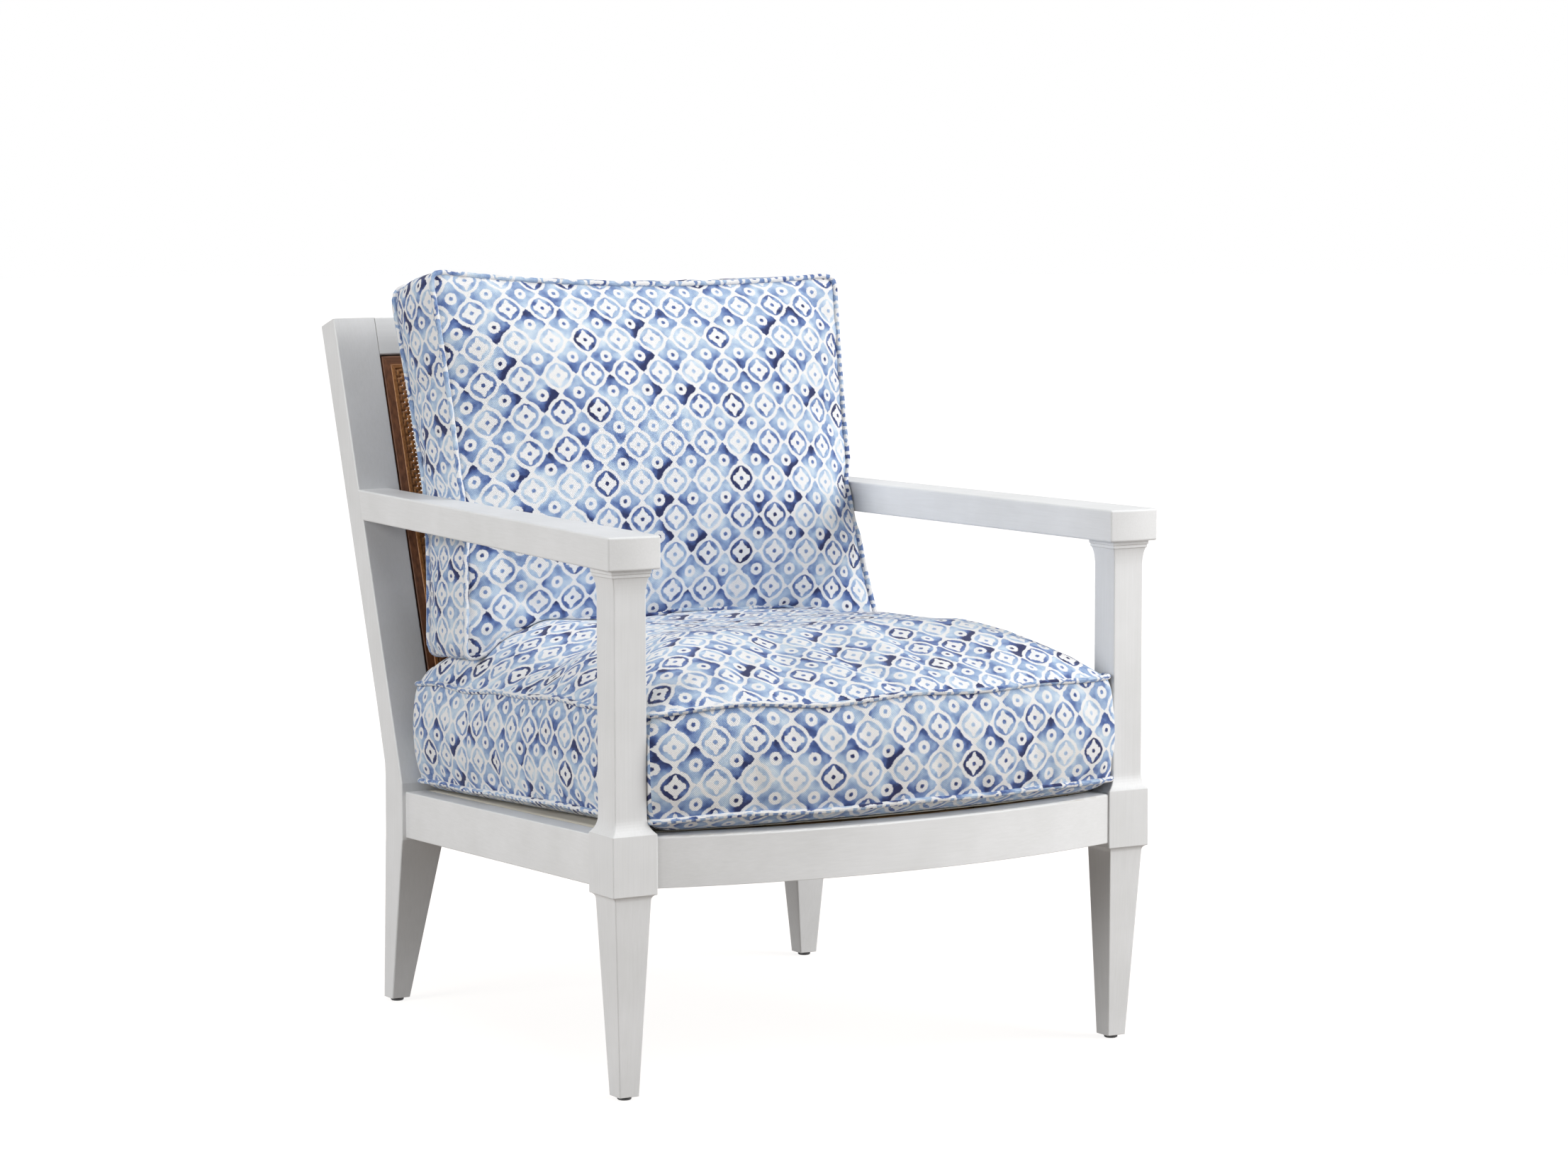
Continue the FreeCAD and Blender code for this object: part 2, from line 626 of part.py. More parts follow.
def glide(foot):
    x, y = foot
    disc = cylinder(GLIDE_DIAMETER, V(x, y, 0), Z_AXIS, GLIDE_HEIGHT)
    bottom_edge = [e for e in disc.Edges if e.BoundBox.ZMax < GLIDE_HEIGHT / 2]
    disc = disc.makeChamfer(GLIDE_CHAMFER, bottom_edge)
    return disc.fuse(glide_nail(foot, 0.0))


def panel_outer():
    """Half width, bottom and top of the cane panel's frame, in stile coordinates."""
    half = POST_OUTER_X - POST_WIDTH - PANEL_REVEAL
    return half, BOTTOM_RAIL_BASE + BOTTOM_RAIL_HEIGHT + PANEL_REVEAL, top_rail_base() - PANEL_REVEAL


def mitred_strip(inset, width, front, back, side):
    """Strip of a mitred frame whose outer edge is inset from the panel's outline."""
    half, low, high = panel_outer()
    x1, z0, z1 = half - inset, low + inset, high - inset
    outer = {"left": (V(-x1, 0, z0), V(-x1, 0, z1)), "right": (V(x1, 0, z0), V(x1, 0, z1)),
             "bottom": (V(-x1, 0, z0), V(x1, 0, z0)), "top": (V(-x1, 0, z1), V(x1, 0, z1))}[side]
    inward = {"left": V(1, 0, 0), "right": V(-1, 0, 0), "bottom": V(0, 0, 1), "top": V(0, 0, -1)}[side]
    along = (outer[1] - outer[0]).normalize()
    inner = (outer[0] + along * width + inward * width, outer[1] - along * width + inward * width)
    points = [outer[0], outer[1], inner[1], inner[0]]
    shift = V(0, front, 0)
    face = Part.Face(Part.makePolygon([p + shift for p in points + points[:1]]))
    return face.extrude(V(0, back - front, 0))


def panel_member(side):
    """Stained frame member with its groove for the spline and a lowered lip for the cane."""
    front = PANEL_SETBACK
    member = mitred_strip(0, PANEL_MEMBER_WIDTH, front, front + PANEL_MEMBER_DEPTH, side)
    front_edges = [e for e in member.Edges if e.BoundBox.YMax < front + PANEL_MEMBER_DEPTH / 2]
    outer_edge = max(front_edges, key=lambda e: e.Length)
    member = member.makeFillet(PANEL_MOULDING_EASE, [outer_edge])
    groove = mitred_strip(PANEL_MOULDING_WIDTH, SPLINE_WIDTH, front - CUT_MARGIN, front + SPLINE_DEPTH, side)
    lip_inset = PANEL_MOULDING_WIDTH + SPLINE_WIDTH
    lip = mitred_strip(lip_inset, PANEL_MEMBER_WIDTH - lip_inset + CUT_MARGIN, front - CUT_MARGIN,
                       front + CANE_THICKNESS, side)
    return on_rake(member.cut([groove, lip])).cut(panel_screws(SCREW_CLEARANCE))


def spline_strip(side):
    """Cane spline: fills the groove and stands a little proud with eased edges."""
    front = PANEL_SETBACK - SPLINE_PROUD
    strip = mitred_strip(PANEL_MOULDING_WIDTH, SPLINE_WIDTH, front, PANEL_SETBACK + SPLINE_DEPTH, side)
    half = panel_outer()[0]
    ridge = []
    for edge in strip.Edges:
        if edge.Length > half and edge.BoundBox.YMax < PANEL_SETBACK - SPLINE_PROUD / 2:
            ridge.append(edge)
    return on_rake(strip.makeFillet(SPLINE_WIDTH * SPLINE_EASE_SHARE, ridge))


def cane_panel():
    half, low, high = panel_outer()
    inset = PANEL_MOULDING_WIDTH + SPLINE_WIDTH
    sheet = box(-half + inset, half - inset, PANEL_SETBACK, PANEL_SETBACK + CANE_THICKNESS,
                low + inset, high - inset)
    return on_rake(sheet)


def panel_stop(side):
    """Square strip behind the panel, fixed to the stile or rail."""
    half = POST_OUTER_X - POST_WIDTH
    low, high = BOTTOM_RAIL_BASE + BOTTOM_RAIL_HEIGHT, top_rail_base()
    y0 = PANEL_SETBACK + PANEL_MEMBER_DEPTH
    y1 = y0 + STOP_SIZE
    strips = {
        "left": (-half, -half + STOP_SIZE, low, high), "right": (half - STOP_SIZE, half, low, high),
        "bottom": (-half + STOP_SIZE, half - STOP_SIZE, low, low + STOP_SIZE),
        "top": (-half + STOP_SIZE, half - STOP_SIZE, high - STOP_SIZE, high),
    }
    x0, x1, z0, z1 = strips[side]
    return on_rake(box(x0, x1, y0, y1, z0, z1)).cut(panel_screws(SCREW_CLEARANCE))


def panel_screws(clearance):
    """Screws through the stops into the panel frame, or their holes."""
    half = POST_OUTER_X - POST_WIDTH - STOP_SIZE / 2
    low = BOTTOM_RAIL_BASE + BOTTOM_RAIL_HEIGHT
    high = top_rail_base()
    back = PANEL_SETBACK + PANEL_MEMBER_DEPTH + STOP_SIZE
    places = []
    for x in (-half, half):
        places += [(x, low + PANEL_SCREW_INSET), (x, (low + high) / 2), (x, high - PANEL_SCREW_INSET)]
    for x in (-half / 2, half / 2):
        places += [(x, low + STOP_SIZE / 2), (x, high - STOP_SIZE / 2)]
    screws = []
    for x, along in places:
        tip = V(x, back - PANEL_SCREW_LENGTH - clearance, along)
        shank = cylinder(PANEL_SCREW_DIAMETER + 2 * clearance, tip, Y_AXIS, PANEL_SCREW_LENGTH)
        head = Part.makeCone(PANEL_SCREW_DIAMETER / 2 + clearance, PANEL_SCREW_HEAD / 2 + clearance,
                             PANEL_SCREW_HEAD_HEIGHT, V(x, back - PANEL_SCREW_HEAD_HEIGHT, along), Y_AXIS)
        screws.append(on_rake(shank.fuse(head)))
    return screws


def corner_prism(corners, carve):
    """Glue block below the deck, cut to fit against what it is glued to."""
    low = -DECK_STRIP_THICKNESS - 2 * WEBBING_THICKNESS - DECK_COVER_THICKNESS - CORNER_BLOCK_HEIGHT
    block = on_deck(polygon_prism(corners, low, CORNER_BLOCK_HEIGHT))
    return block.cut(carve)


def front_corner_block():
    inner_x = BLOCK_OUTER_X - BLOCK_SIZE
    side_y = BLOCK_SIZE + CORNER_BLOCK_LEG
    rail_x = inner_x - CORNER_BLOCK_LEG
    corners = [(rail_inner_x(side_y), side_y), (rail_inner_x(BLOCK_SIZE), BLOCK_SIZE), (inner_x, BLOCK_SIZE),
               (inner_x, front_rail_y(inner_x, FRONT_RAIL_THICKNESS)), (rail_x, 0)]
    outer_radius, centre_y = front_rail_arc(FRONT_RAIL_THICKNESS)
    inside = Part.makeCylinder(outer_radius, FAR, V(0, centre_y, 0))
    leg_block = box(inner_x, BLOCK_OUTER_X, 0, BLOCK_SIZE, BLOCK_BOTTOM, BLOCK_BOTTOM + BLOCK_HEIGHT)
    return corner_prism(corners, [leg_block]).common(inside).cut(corner_screws(True) + deck_screws(True))


def rear_corner_block():
    inner_x = POST_OUTER_X - POST_WIDTH
    side_y = POST_FRONT_Y - CORNER_BLOCK_LEG
    rail_y = POST_FRONT_Y + REAR_RAIL_SETBACK
    corners = [(rail_inner_x(side_y), side_y), (rail_inner_x(POST_FRONT_Y), POST_FRONT_Y),
               (inner_x, POST_FRONT_Y), (inner_x, rail_y), (inner_x - CORNER_BLOCK_LEG, rail_y)]
    walls = [rear_post_right(), rear_rail()]
    return corner_prism(corners, walls).cut(corner_screws(True) + deck_screws(True))


def corner_screw_frames():
    """Start point on each corner block and direction of its two rail screws, for the right side."""
    depth = DECK_STRIP_THICKNESS + 2 * WEBBING_THICKNESS + DECK_COVER_THICKNESS + CORNER_BLOCK_HEIGHT / 2
    front_x = BLOCK_OUTER_X - BLOCK_SIZE
    rear_x = POST_OUTER_X - POST_WIDTH
    y_front = BLOCK_SIZE + BLOCK_SCREW_PLACE
    y_rear = POST_FRONT_Y - BLOCK_SCREW_PLACE
    fall = math.tan(math.radians(deck_slope()))

    def level(y):
        return SIDE_RAIL_TOP_FRONT - depth - (y - BLOCK_SIZE) * fall

    front_rail_x = front_x - BLOCK_SCREW_PLACE
    rear_rail_x = rear_x - BLOCK_SCREW_PLACE
    front_joint_y = front_rail_y(front_rail_x, FRONT_RAIL_THICKNESS)
    front_joint = V(front_rail_x, front_joint_y, level(0) - BLOCK_SCREW_STAGGER)
    return {
        "front_side": (V(rail_inner_x(y_front), y_front, level(y_front)), X_AXIS),
        "front_rail": (front_joint, Y_AXIS * -1),
        "rear_side": (V(rail_inner_x(y_rear), y_rear, level(y_rear)), X_AXIS),
        "rear_rail": (V(rear_rail_x, POST_FRONT_Y + REAR_RAIL_SETBACK, level(POST_FRONT_Y)), Y_AXIS),
    }


def corner_screw(name, hole):
    """Screw from inside the corner block, through its joint face, into the rail."""
    joint, direction = corner_screw_frames()[name]
    clearance = SCREW_CLEARANCE if hole else 0.0
    start = joint - direction * BLOCK_SCREW_GRIP
    length = BLOCK_SCREW_GRIP + BLOCK_SCREW_BITE
    shank = cylinder(BLOCK_SCREW_DIAMETER + 2 * clearance, start, direction, length)
    head_reach = BLOCK_SCREW_ACCESS if hole else BLOCK_SCREW_HEAD_HEIGHT
    head = cylinder(BLOCK_SCREW_HEAD + 2 * clearance, start, direction * -1, head_reach)
    return shank.fuse(head)


def corner_screws(hole):
    return [corner_screw(name, hole) for name in corner_screw_frames()]


def corner_screw_holes():
    return [corner_screw("front_side", True), corner_screw("rear_side", True)]


def front_corner_screw_holes():
    return [corner_screw("front_rail", True)]


def rear_corner_screw_holes():
    return [corner_screw("rear_rail", True)]


def deck_screws(hole):
    """Upright screws through the corner blocks into the deck strips, right side."""
    top = -2 * WEBBING_THICKNESS - DECK_COVER_THICKNESS - DECK_STRIP_THICKNESS
    clearance = SCREW_CLEARANCE if hole else 0.0
    front = (BLOCK_OUTER_X - BLOCK_SIZE - DECK_SCREW_FRONT_INSET, BLOCK_SIZE + DECK_SCREW_FRONT_INSET)
    rear = (POST_OUTER_X - POST_WIDTH - DECK_SCREW_REAR_INSET, POST_FRONT_Y - DECK_SCREW_REAR_SETBACK)
    length = CORNER_BLOCK_HEIGHT + DECK_SCREW_BITE
    screws = []
    for x, y in (front, rear):
        start = V(x, y, top - CORNER_BLOCK_HEIGHT)
        screw = cylinder(BLOCK_SCREW_DIAMETER + 2 * clearance, start, Z_AXIS, length)
        if not hole:
            screw = screw.fuse(cylinder(BLOCK_SCREW_HEAD, start, Z_AXIS * -1, BLOCK_SCREW_HEAD_HEIGHT))
        screws.append(on_deck(screw))
    return screws


def deck_outline(inset, bottom, height):
    """Plan of the deck inside the rails, bowed at the front, as a level prism."""
    gap = DECK_EDGE_GAP + inset
    front_x = BLOCK_OUTER_X - BLOCK_SIZE - gap
    rear_y = POST_FRONT_Y - gap
    corners = [(-front_x, -FAR), (front_x, -FAR), (front_x, BLOCK_SIZE + gap),
               (rail_inner_x(BLOCK_SIZE) - gap, BLOCK_SIZE + gap), (rail_inner_x(rear_y) - gap, rear_y)]
    corners += [(-x, y) for x, y in reversed(corners[2:])]
    radius, centre_y = front_rail_arc(FRONT_RAIL_THICKNESS + gap)
    inside = Part.makeCylinder(radius, height, V(0, centre_y, bottom))
    return polygon_prism(corners, bottom, height).common(inside)


def deck_strip(side):
    """One plywood strip of the deck frame."""
    bottom = -DECK_STRIP_THICKNESS - 2 * WEBBING_THICKNESS - DECK_COVER_THICKNESS
    plan = deck_outline(0, bottom, DECK_STRIP_THICKNESS)
    front_end = BLOCK_SIZE + DECK_STRIP_WIDTH
    rear_start = POST_FRONT_Y - DECK_STRIP_WIDTH
    low, high = bottom - CUT_MARGIN, bottom + DECK_STRIP_THICKNESS + CUT_MARGIN
    if side == "front":
        strip = plan.common(box(-FAR, FAR, -FAR, front_end, low, high))
    elif side == "rear":
        strip = plan.common(box(-FAR, FAR, rear_start, FAR, low, high))
    else:
        sign = 1 if side == "right" else -1
        width = DECK_STRIP_WIDTH + DECK_EDGE_GAP
        corners = [(sign * (rail_inner_x(front_end) - width), front_end), (sign * FAR, front_end),
                   (sign * FAR, rear_start), (sign * (rail_inner_x(rear_start) - width), rear_start)]
        strip = plan.common(polygon_prism(corners, low, high - low))
    return on_deck(strip).cut(both_sides(deck_screws(True)))


def webbing(lengthwise):
    """Straps of webbing over the deck frame, as one group of separate straps."""
    level = -2 * WEBBING_THICKNESS - DECK_COVER_THICKNESS + (WEBBING_THICKNESS if lengthwise else 0.0)
    plan = deck_outline(WEBBING_EDGE, level, WEBBING_THICKNESS)
    count = LONG_STRAPS if lengthwise else CROSS_STRAPS
    low, high = level - CUT_MARGIN, level + WEBBING_THICKNESS + CUT_MARGIN
    straps = []
    for i in range(count):
        share = (i + 0.5) / count
        if lengthwise:
            half = rail_inner_x(POST_FRONT_Y) - DECK_EDGE_GAP - WEBBING_EDGE
            middle = -half + 2 * half * share
            cutter = box(middle - WEBBING_WIDTH / 2, middle + WEBBING_WIDTH / 2, -FAR, FAR, low, high)
        else:
            start, end = BLOCK_SIZE, POST_FRONT_Y - WEBBING_EDGE
            middle = start + (end - start) * share
            cutter = box(-FAR, FAR, middle - WEBBING_WIDTH / 2, middle + WEBBING_WIDTH / 2, low, high)
        straps.append(on_deck(plan.common(cutter)))
    return straps


def deck_cover():
    return on_deck(deck_outline(0, -DECK_COVER_THICKNESS, DECK_COVER_THICKNESS))


def dust_cover():
    """Thin cloth under the deck frame, cut back round the corner blocks."""
    top = -DECK_STRIP_THICKNESS - 2 * WEBBING_THICKNESS - DECK_COVER_THICKNESS
    sheet = deck_outline(WEBBING_EDGE, top - DUST_COVER_THICKNESS, DUST_COVER_THICKNESS)
    inner_x = BLOCK_OUTER_X - BLOCK_SIZE
    reach = DUST_COVER_CORNER
    low = top - DUST_COVER_THICKNESS - CUT_MARGIN
    height = DUST_COVER_THICKNESS + 2 * CUT_MARGIN
    front_y = BLOCK_SIZE + reach
    front = [(inner_x - reach, -FAR), (FAR, -FAR), (FAR, front_y), (rail_inner_x(front_y), front_y),
             (inner_x - reach, DUST_COVER_FRONT_CUT)]
    rear_y = POST_FRONT_Y - reach
    rear_x = POST_OUTER_X - POST_WIDTH - reach
    rear = [(rail_inner_x(rear_y), rear_y), (FAR, rear_y), (FAR, FAR), (rear_x, FAR),
            (rear_x, POST_FRONT_Y - DUST_COVER_REAR_CUT)]
    corners = [polygon_prism(outline, low, height) for outline in (front, rear)]
    return on_deck(sheet.cut(both_sides(corners)))


def bowed_outline(front, rear, front_half, rear_half, front_bow, side_bow, rear_bow, radius, place):
    """Four bowed sides with tangent corner arcs, as a wire laid out by place(u, v)."""
    corners = [V(-front_half, front, 0), V(front_half, front, 0),
               V(rear_half, rear, 0), V(-rear_half, rear, 0)]
    bows = [V(0, front - front_bow, 0),
            V((front_half + rear_half) / 2 + side_bow, (front + rear) / 2, 0),
            V(0, rear + rear_bow, 0),
            V(-(front_half + rear_half) / 2 - side_bow, (front + rear) / 2, 0)]
    sides = []
    for i in range(4):
        a, b = corners[i], corners[(i + 1) % 4]
        middle = (a + b) * 0.5
        if (bows[i] - middle).Length < 0.05:
            sides.append(Part.makeLine(a, b))
        else:
            sides.append(Part.Arc(a, bows[i], b).toShape())
    prism = Part.Face(Part.Wire(sides)).extrude(V(0, 0, 1))
    upright = [e for e in prism.Edges if e.BoundBox.ZLength > 0.9 and e.BoundBox.XLength < 0.01]
    rounded = prism.makeFillet(radius, upright)
    bottom = min(rounded.Faces, key=lambda f: f.CenterOfMass.z)
    return place(bottom.OuterWire)


def cushion_profile(low_crown, boxing, high_crown, bulge, reach, power, flat_rest):
    """Pairs (height, inset) of a boxed cushion between its two crowns, low side first."""
    seam = WELT_DIAMETER / 2 + WELT_GAP
    low = []
    if flat_rest:
        low = [(-down * low_crown, inward * low_crown) for down, inward in REST_STEPS]
    else:
        for step in reversed(CROWN_STEPS):
            low.append((-low_crown * (1 - (1 - step) ** power), seam + reach * step))
    middle = []
    for share in BOXING_STEPS:
        swell = abs(math.sin(math.pi * share)) ** BOXING_SWELL_POWER
        middle.append((boxing * share, seam - (seam + bulge) * swell))
    high = []
    for step in CROWN_STEPS:
        high.append((boxing + high_crown * (1 - (1 - step) ** power), seam + reach * step))
    return low + middle + high


def crown_radius(corner, inset, half):
    """Corner radius of an outline: it grows with the inset and stays inside what is left."""
    return min(corner + max(inset, -corner / 2) * CROWN_CORNER_GROWTH, CROWN_CORNER_LIMIT * (half - inset))


def bow_share(inset, half):
    """How much of a side's bow is left in an outline: all of it at the seam, less towards the crown."""
    return 1 - max(inset - WELT_DIAMETER, 0.0) / half


def seat_front_half():
    """Half width of the seat cushion's front welt, between the shafts of the front legs."""
    return shaft_inner_x() - SEAT_LEG_GAP - max(SEAT_BULGE, WELT_DIAMETER / 2)


def seat_rear_half():
    return POST_OUTER_X - SEAT_REAR_INSET


def seat_rear_y():
    return POST_FRONT_Y - SEAT_REAR_GAP - SEAT_BULGE


def seat_outline(inset, height):
    """Plan of the seat cushion, inset from its welt line, at a height above the deck plane."""
    def place(wire):
        lifted = wire.copy()
        lifted.translate(V(0, 0, height))
        return lifted
    radius = crown_radius(SEAT_CORNER_RADIUS, inset, seat_rear_half())
    bow = SEAT_FRONT_BOW * bow_share(inset, seat_front_half())
    return bowed_outline(SEAT_FRONT_Y + inset, seat_rear_y() - inset, seat_front_half() - inset,
                         seat_rear_half() - inset, bow, SEAT_SIDE_BOW, 0.0, radius, place)


def seat_sections(extra, skin):
    base = SOFT_GAP + SEAT_WELT_LOW
    profile = cushion_profile(SEAT_WELT_LOW, SEAT_BOXING, SEAT_CROWN, SEAT_BULGE, seat_front_half(),
                              SEAT_CROWN_POWER, True)
    wires = []
    for height, inset in profile:
        z = base + height
        if skin:
            z = base + SEAT_BOXING / 2 + (height - SEAT_BOXING / 2) * skin
        wires.append(on_deck(seat_outline(inset + extra, z)))
    return wires


def seat_core_scale(wall):
    """Share by which heights shrink so that a wall is left above and below the core."""
    total = SEAT_WELT_LOW + SEAT_BOXING + SEAT_CROWN
    return (total - 2 * wall) / total


def seat_cushion_parts():
    outer = loft(seat_sections(0.0, 0.0))
    cavity = loft(seat_sections(CORE_WALL, seat_core_scale(CORE_WALL)))
    core = loft(seat_sections(CORE_WALL + CORE_GAP, seat_core_scale(CORE_WALL + CORE_GAP)))
    middle = SOFT_GAP + SEAT_WELT_LOW + SEAT_BOXING / 2
    face = seat_rear_y() + SEAT_BULGE - ZIP_THICKNESS
    zip_strip = box(-SEAT_ZIP_LENGTH / 2, SEAT_ZIP_LENGTH / 2, face, face + ZIP_THICKNESS,
                    middle - ZIP_WIDTH / 2, middle + ZIP_WIDTH / 2)
    half = SEAT_ZIP_LENGTH / 2 + WELT_GAP
    pocket = box(-half, half, face - WELT_GAP, face + CORE_WALL,
                 middle - ZIP_WIDTH / 2 - WELT_GAP, middle + ZIP_WIDTH / 2 + WELT_GAP)
    welts = [welt(on_deck(seat_outline(0.0, SOFT_GAP + SEAT_WELT_LOW + rise))) for rise in (0.0, SEAT_BOXING)]
    return [outer.cut([cavity, on_deck(pocket)]), core, on_deck(zip_strip)] + welts


def welt(path):
    """Round cord swept along a closed wire of lines and arcs."""
    edge = path.Edges[0]
    start = edge.valueAt(edge.FirstParameter)
    tangent = edge.tangentAt(edge.FirstParameter)
    circle = Part.Wire([Part.makeCircle(WELT_DIAMETER / 2, start, tangent)])
    return path.makePipeShell([circle], True, False)


def back_outline(inset, depth, half_width):
    """Front view of the back cushion, inset from its welt line, at a depth behind the front welt."""
    def place(wire):
        turned = wire.copy()
        turned.rotate(V(0, 0, 0), X_AXIS, 90)
        turned.translate(V(0, depth, 0))
        return turned
    radius = crown_radius(BACK_CORNER_RADIUS, inset, BACK_HEIGHT / 2)
    share = bow_share(inset, back_half_width(0))
    rise = corner_rise(half_width) * min(inset, WELT_DIAMETER)
    half = half_width - inset
    bottom_bow = rise - BACK_BOTTOM_ARCH * share
    side_bow, top_bow = -BACK_SIDE_DRAW * share, -BACK_TOP_DIP * share
    return bowed_outline(inset + rise, BACK_HEIGHT - inset, half, half, bottom_bow, side_bow, top_bow, radius,
                         place)


def corner_rise(half_width):
    """Slope of the arched bottom at its corners, by which an inset outline's corners climb."""
    return 2 * BACK_BOTTOM_ARCH / half_width


def back_half_width(depth):
    """Half width at a depth behind the front welt, between the arms."""
    front_inner, rear_inner = ARM_FRONT_OUTER_X - ARM_FRONT_WIDTH, POST_OUTER_X - ARM_REAR_WIDTH
    inner = arm_line_x(back_welt_y() + depth, front_inner, rear_inner)
    return inner - BACK_ARM_GAP - max(BACK_BULGE, WELT_DIAMETER / 2)


def back_sections(extra, skin):
    reach = BACK_CROWN_REACH * back_half_width(BACK_BOXING)
    profile = cushion_profile(BACK_FRONT_CROWN, BACK_BOXING, BACK_REAR_CROWN, BACK_BULGE, reach,
                              BACK_CROWN_POWER, False)
    wires = []
    for depth, inset in profile:
        if skin:
            depth = BACK_BOXING / 2 + (depth - BACK_BOXING / 2) * skin
        wires.append(on_back_cushion(back_outline(inset + extra, depth, back_half_width(depth))))
    return wires


def back_core_scale(wall):
    total = BACK_FRONT_CROWN + BACK_BOXING + BACK_REAR_CROWN
    return (total - 2 * wall) / total


def back_zip():
    """Zip along the arched bottom boxing, and the pocket that it lies in."""
    middle = BACK_BOXING / 2
    chord = back_half_width(middle) + BACK_BULGE
    arch = BACK_BOTTOM_ARCH + corner_rise(back_half_width(middle)) * BACK_BULGE
    radius = (chord ** 2 + arch ** 2) / (2 * arch)
    centre = BACK_BOTTOM_ARCH - BACK_BULGE - radius

    def arched(inner, outer, grow):
        start = V(0, middle - ZIP_WIDTH / 2 - grow, centre)
        width = ZIP_WIDTH + 2 * grow
        half = BACK_ZIP_LENGTH / 2 + grow
        ring = cylinder(2 * outer, start, Y_AXIS, width).cut(cylinder(2 * inner, start, Y_AXIS, width))
        stretch = box(-half, half, 0, BACK_BOXING, -BACK_HEIGHT / 2, BACK_HEIGHT / 2)
        return on_back_cushion(ring.common(stretch))

    strip = arched(radius, radius + ZIP_THICKNESS, 0.0)
    return strip, arched(radius - CORE_WALL, radius + ZIP_THICKNESS + WELT_GAP, WELT_GAP)


def back_cushion_parts(seat_cushion, cane):
    """Pieces of the back cushion, pushed back to the cane and let down onto the seat cushion."""
    outer = loft(back_sections(0.0, 0.0))
    cavity = loft(back_sections(CORE_WALL, back_core_scale(CORE_WALL)))
    core = loft(back_sections(CORE_WALL + CORE_GAP, back_core_scale(CORE_WALL + CORE_GAP)))
    middle = BACK_BOXING / 2
    zip_strip, pocket = back_zip()
    seams = [back_outline(0.0, depth, back_half_width(depth)) for depth in (0.0, BACK_BOXING)]
    welts = [welt(on_back_cushion(seam)) for seam in seams]
    pieces = [outer.cut([cavity, pocket]), core, zip_strip] + welts
    rake = math.radians(BACK_RAKE)
    for support, direction in ((cane, Y_AXIS), (seat_cushion, V(0, -math.sin(rake), -math.cos(rake)))):
        travel = settle(pieces[0], support, direction)
        for piece in pieces:
            piece.translate(direction * travel)
    return pieces


def all_parts():
    """Every node by name, each a list of solids, before the whole is centred."""
    nodes = {}

    def pair(name, shape):
        nodes[name + "_right"] = [shape]
        nodes[name + "_left"] = [mirrored(shape)]

    pair("front_leg", front_leg_right())
    pair("rear_post", rear_post_right())
    pair("arm", arm_right())
    pair("seat_rail", side_rail_right())
    nodes["seat_rail_front"] = [front_rail()]
    nodes["seat_rail_rear"] = [rear_rail()]
    nodes["back_rail_top"] = [back_rail(top_rail_base(), TOP_RAIL_HEIGHT)]
    nodes["back_rail_bottom"] = [back_rail(BOTTOM_RAIL_BASE, BOTTOM_RAIL_HEIGHT)]
    pair("glide_front", glide(front_foot_middle()))
    pair("glide_rear", glide(rear_foot_middle()))
    pair("corner_block_front", front_corner_block())
    pair("corner_block_rear", rear_corner_block())
    rail_dowels = side_rail_front_dowels(0) + side_rail_rear_dowels(0)
    nodes["seat_rail_dowels"] = both_sides(rail_dowels + front_rail_dowels(0) + rear_rail_dowels(0))
    nodes["back_rail_dowels"] = both_sides(back_rail_dowels(0))
    nodes["arm_dowels"] = both_sides(arm_front_dowel(0))
    nodes["arm_screws"] = both_sides([arm_screw()])
    nodes["arm_screw_plugs"] = both_sides([arm_plug()])
    nodes["corner_block_screws"] = both_sides(corner_screws(False))
    nodes["deck_screws"] = both_sides(deck_screws(False))
    for side in ("top", "bottom", "left", "right"):
        nodes["cane_frame_" + side] = [panel_member(side)]
        nodes["cane_spline_" + side] = [spline_strip(side)]
        nodes["panel_stop_" + side] = [panel_stop(side)]
    cane = cane_panel()
    nodes["cane_panel"] = [cane]
    nodes["panel_screws"] = panel_screws(0)
    for side in ("front", "rear", "left", "right"):
        nodes["deck_strip_" + side] = [deck_strip(side)]
    nodes["webbing_crosswise"] = webbing(False)
    nodes["webbing_lengthwise"] = webbing(True)
    nodes["deck_cover"] = [deck_cover()]
    nodes["dust_cover"] = [dust_cover()]
    seat_pieces = seat_cushion_parts()
    back_pieces = back_cushion_parts(seat_pieces[0], cane)
    for name, (cover, core, zip_strip, *welts) in (("seat", seat_pieces), ("back", back_pieces)):
        nodes[name + "_cushion_cover"] = [cover]
        nodes[name + "_cushion_core"] = [core]
        nodes[name + "_cushion_zip"] = [zip_strip]
        nodes[name + "_welts"] = welts
    return nodes


def extents(shapes):
    """Lowest and highest corner over points on the shapes' own surfaces."""
    points = [point for shape in shapes for point in shape.tessellate(MEASURE_STEP)[0]]
    lows = [min(point[i] for point in points) for i in range(3)]
    highs = [max(point[i] for point in points) for i in range(3)]
    return V(*lows), V(*highs)


def main():
    os.makedirs("parts", exist_ok=True)
    nodes = all_parts()
    low, high = extents([solid for group in nodes.values() for solid in group])
    size = high - low
    shift = V(0, -(low.y + high.y) / 2, 0)
    for name, group in nodes.items():
        shape = group[0] if len(group) == 1 else Part.makeCompound(group)
        shape.translate(shift)
        shape.exportStep("parts/" + name + ".step")
    print("nodes", len(nodes), "shift", round(shift.y, 2))
    print("size", round(size.x, 1), round(size.y, 1), round(size.z, 1))


main()
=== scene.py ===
# Upholstered armchair: painted wood frame, stained cane back panel, loose boxed cushions in printed linen.
# Lengths are in metres. +X is right as seen from the front, +Y backwards, +Z up.
import math
import bpy
import numpy as np
from mathutils import Matrix, Vector
from mathutils.bvhtree import BVHTree


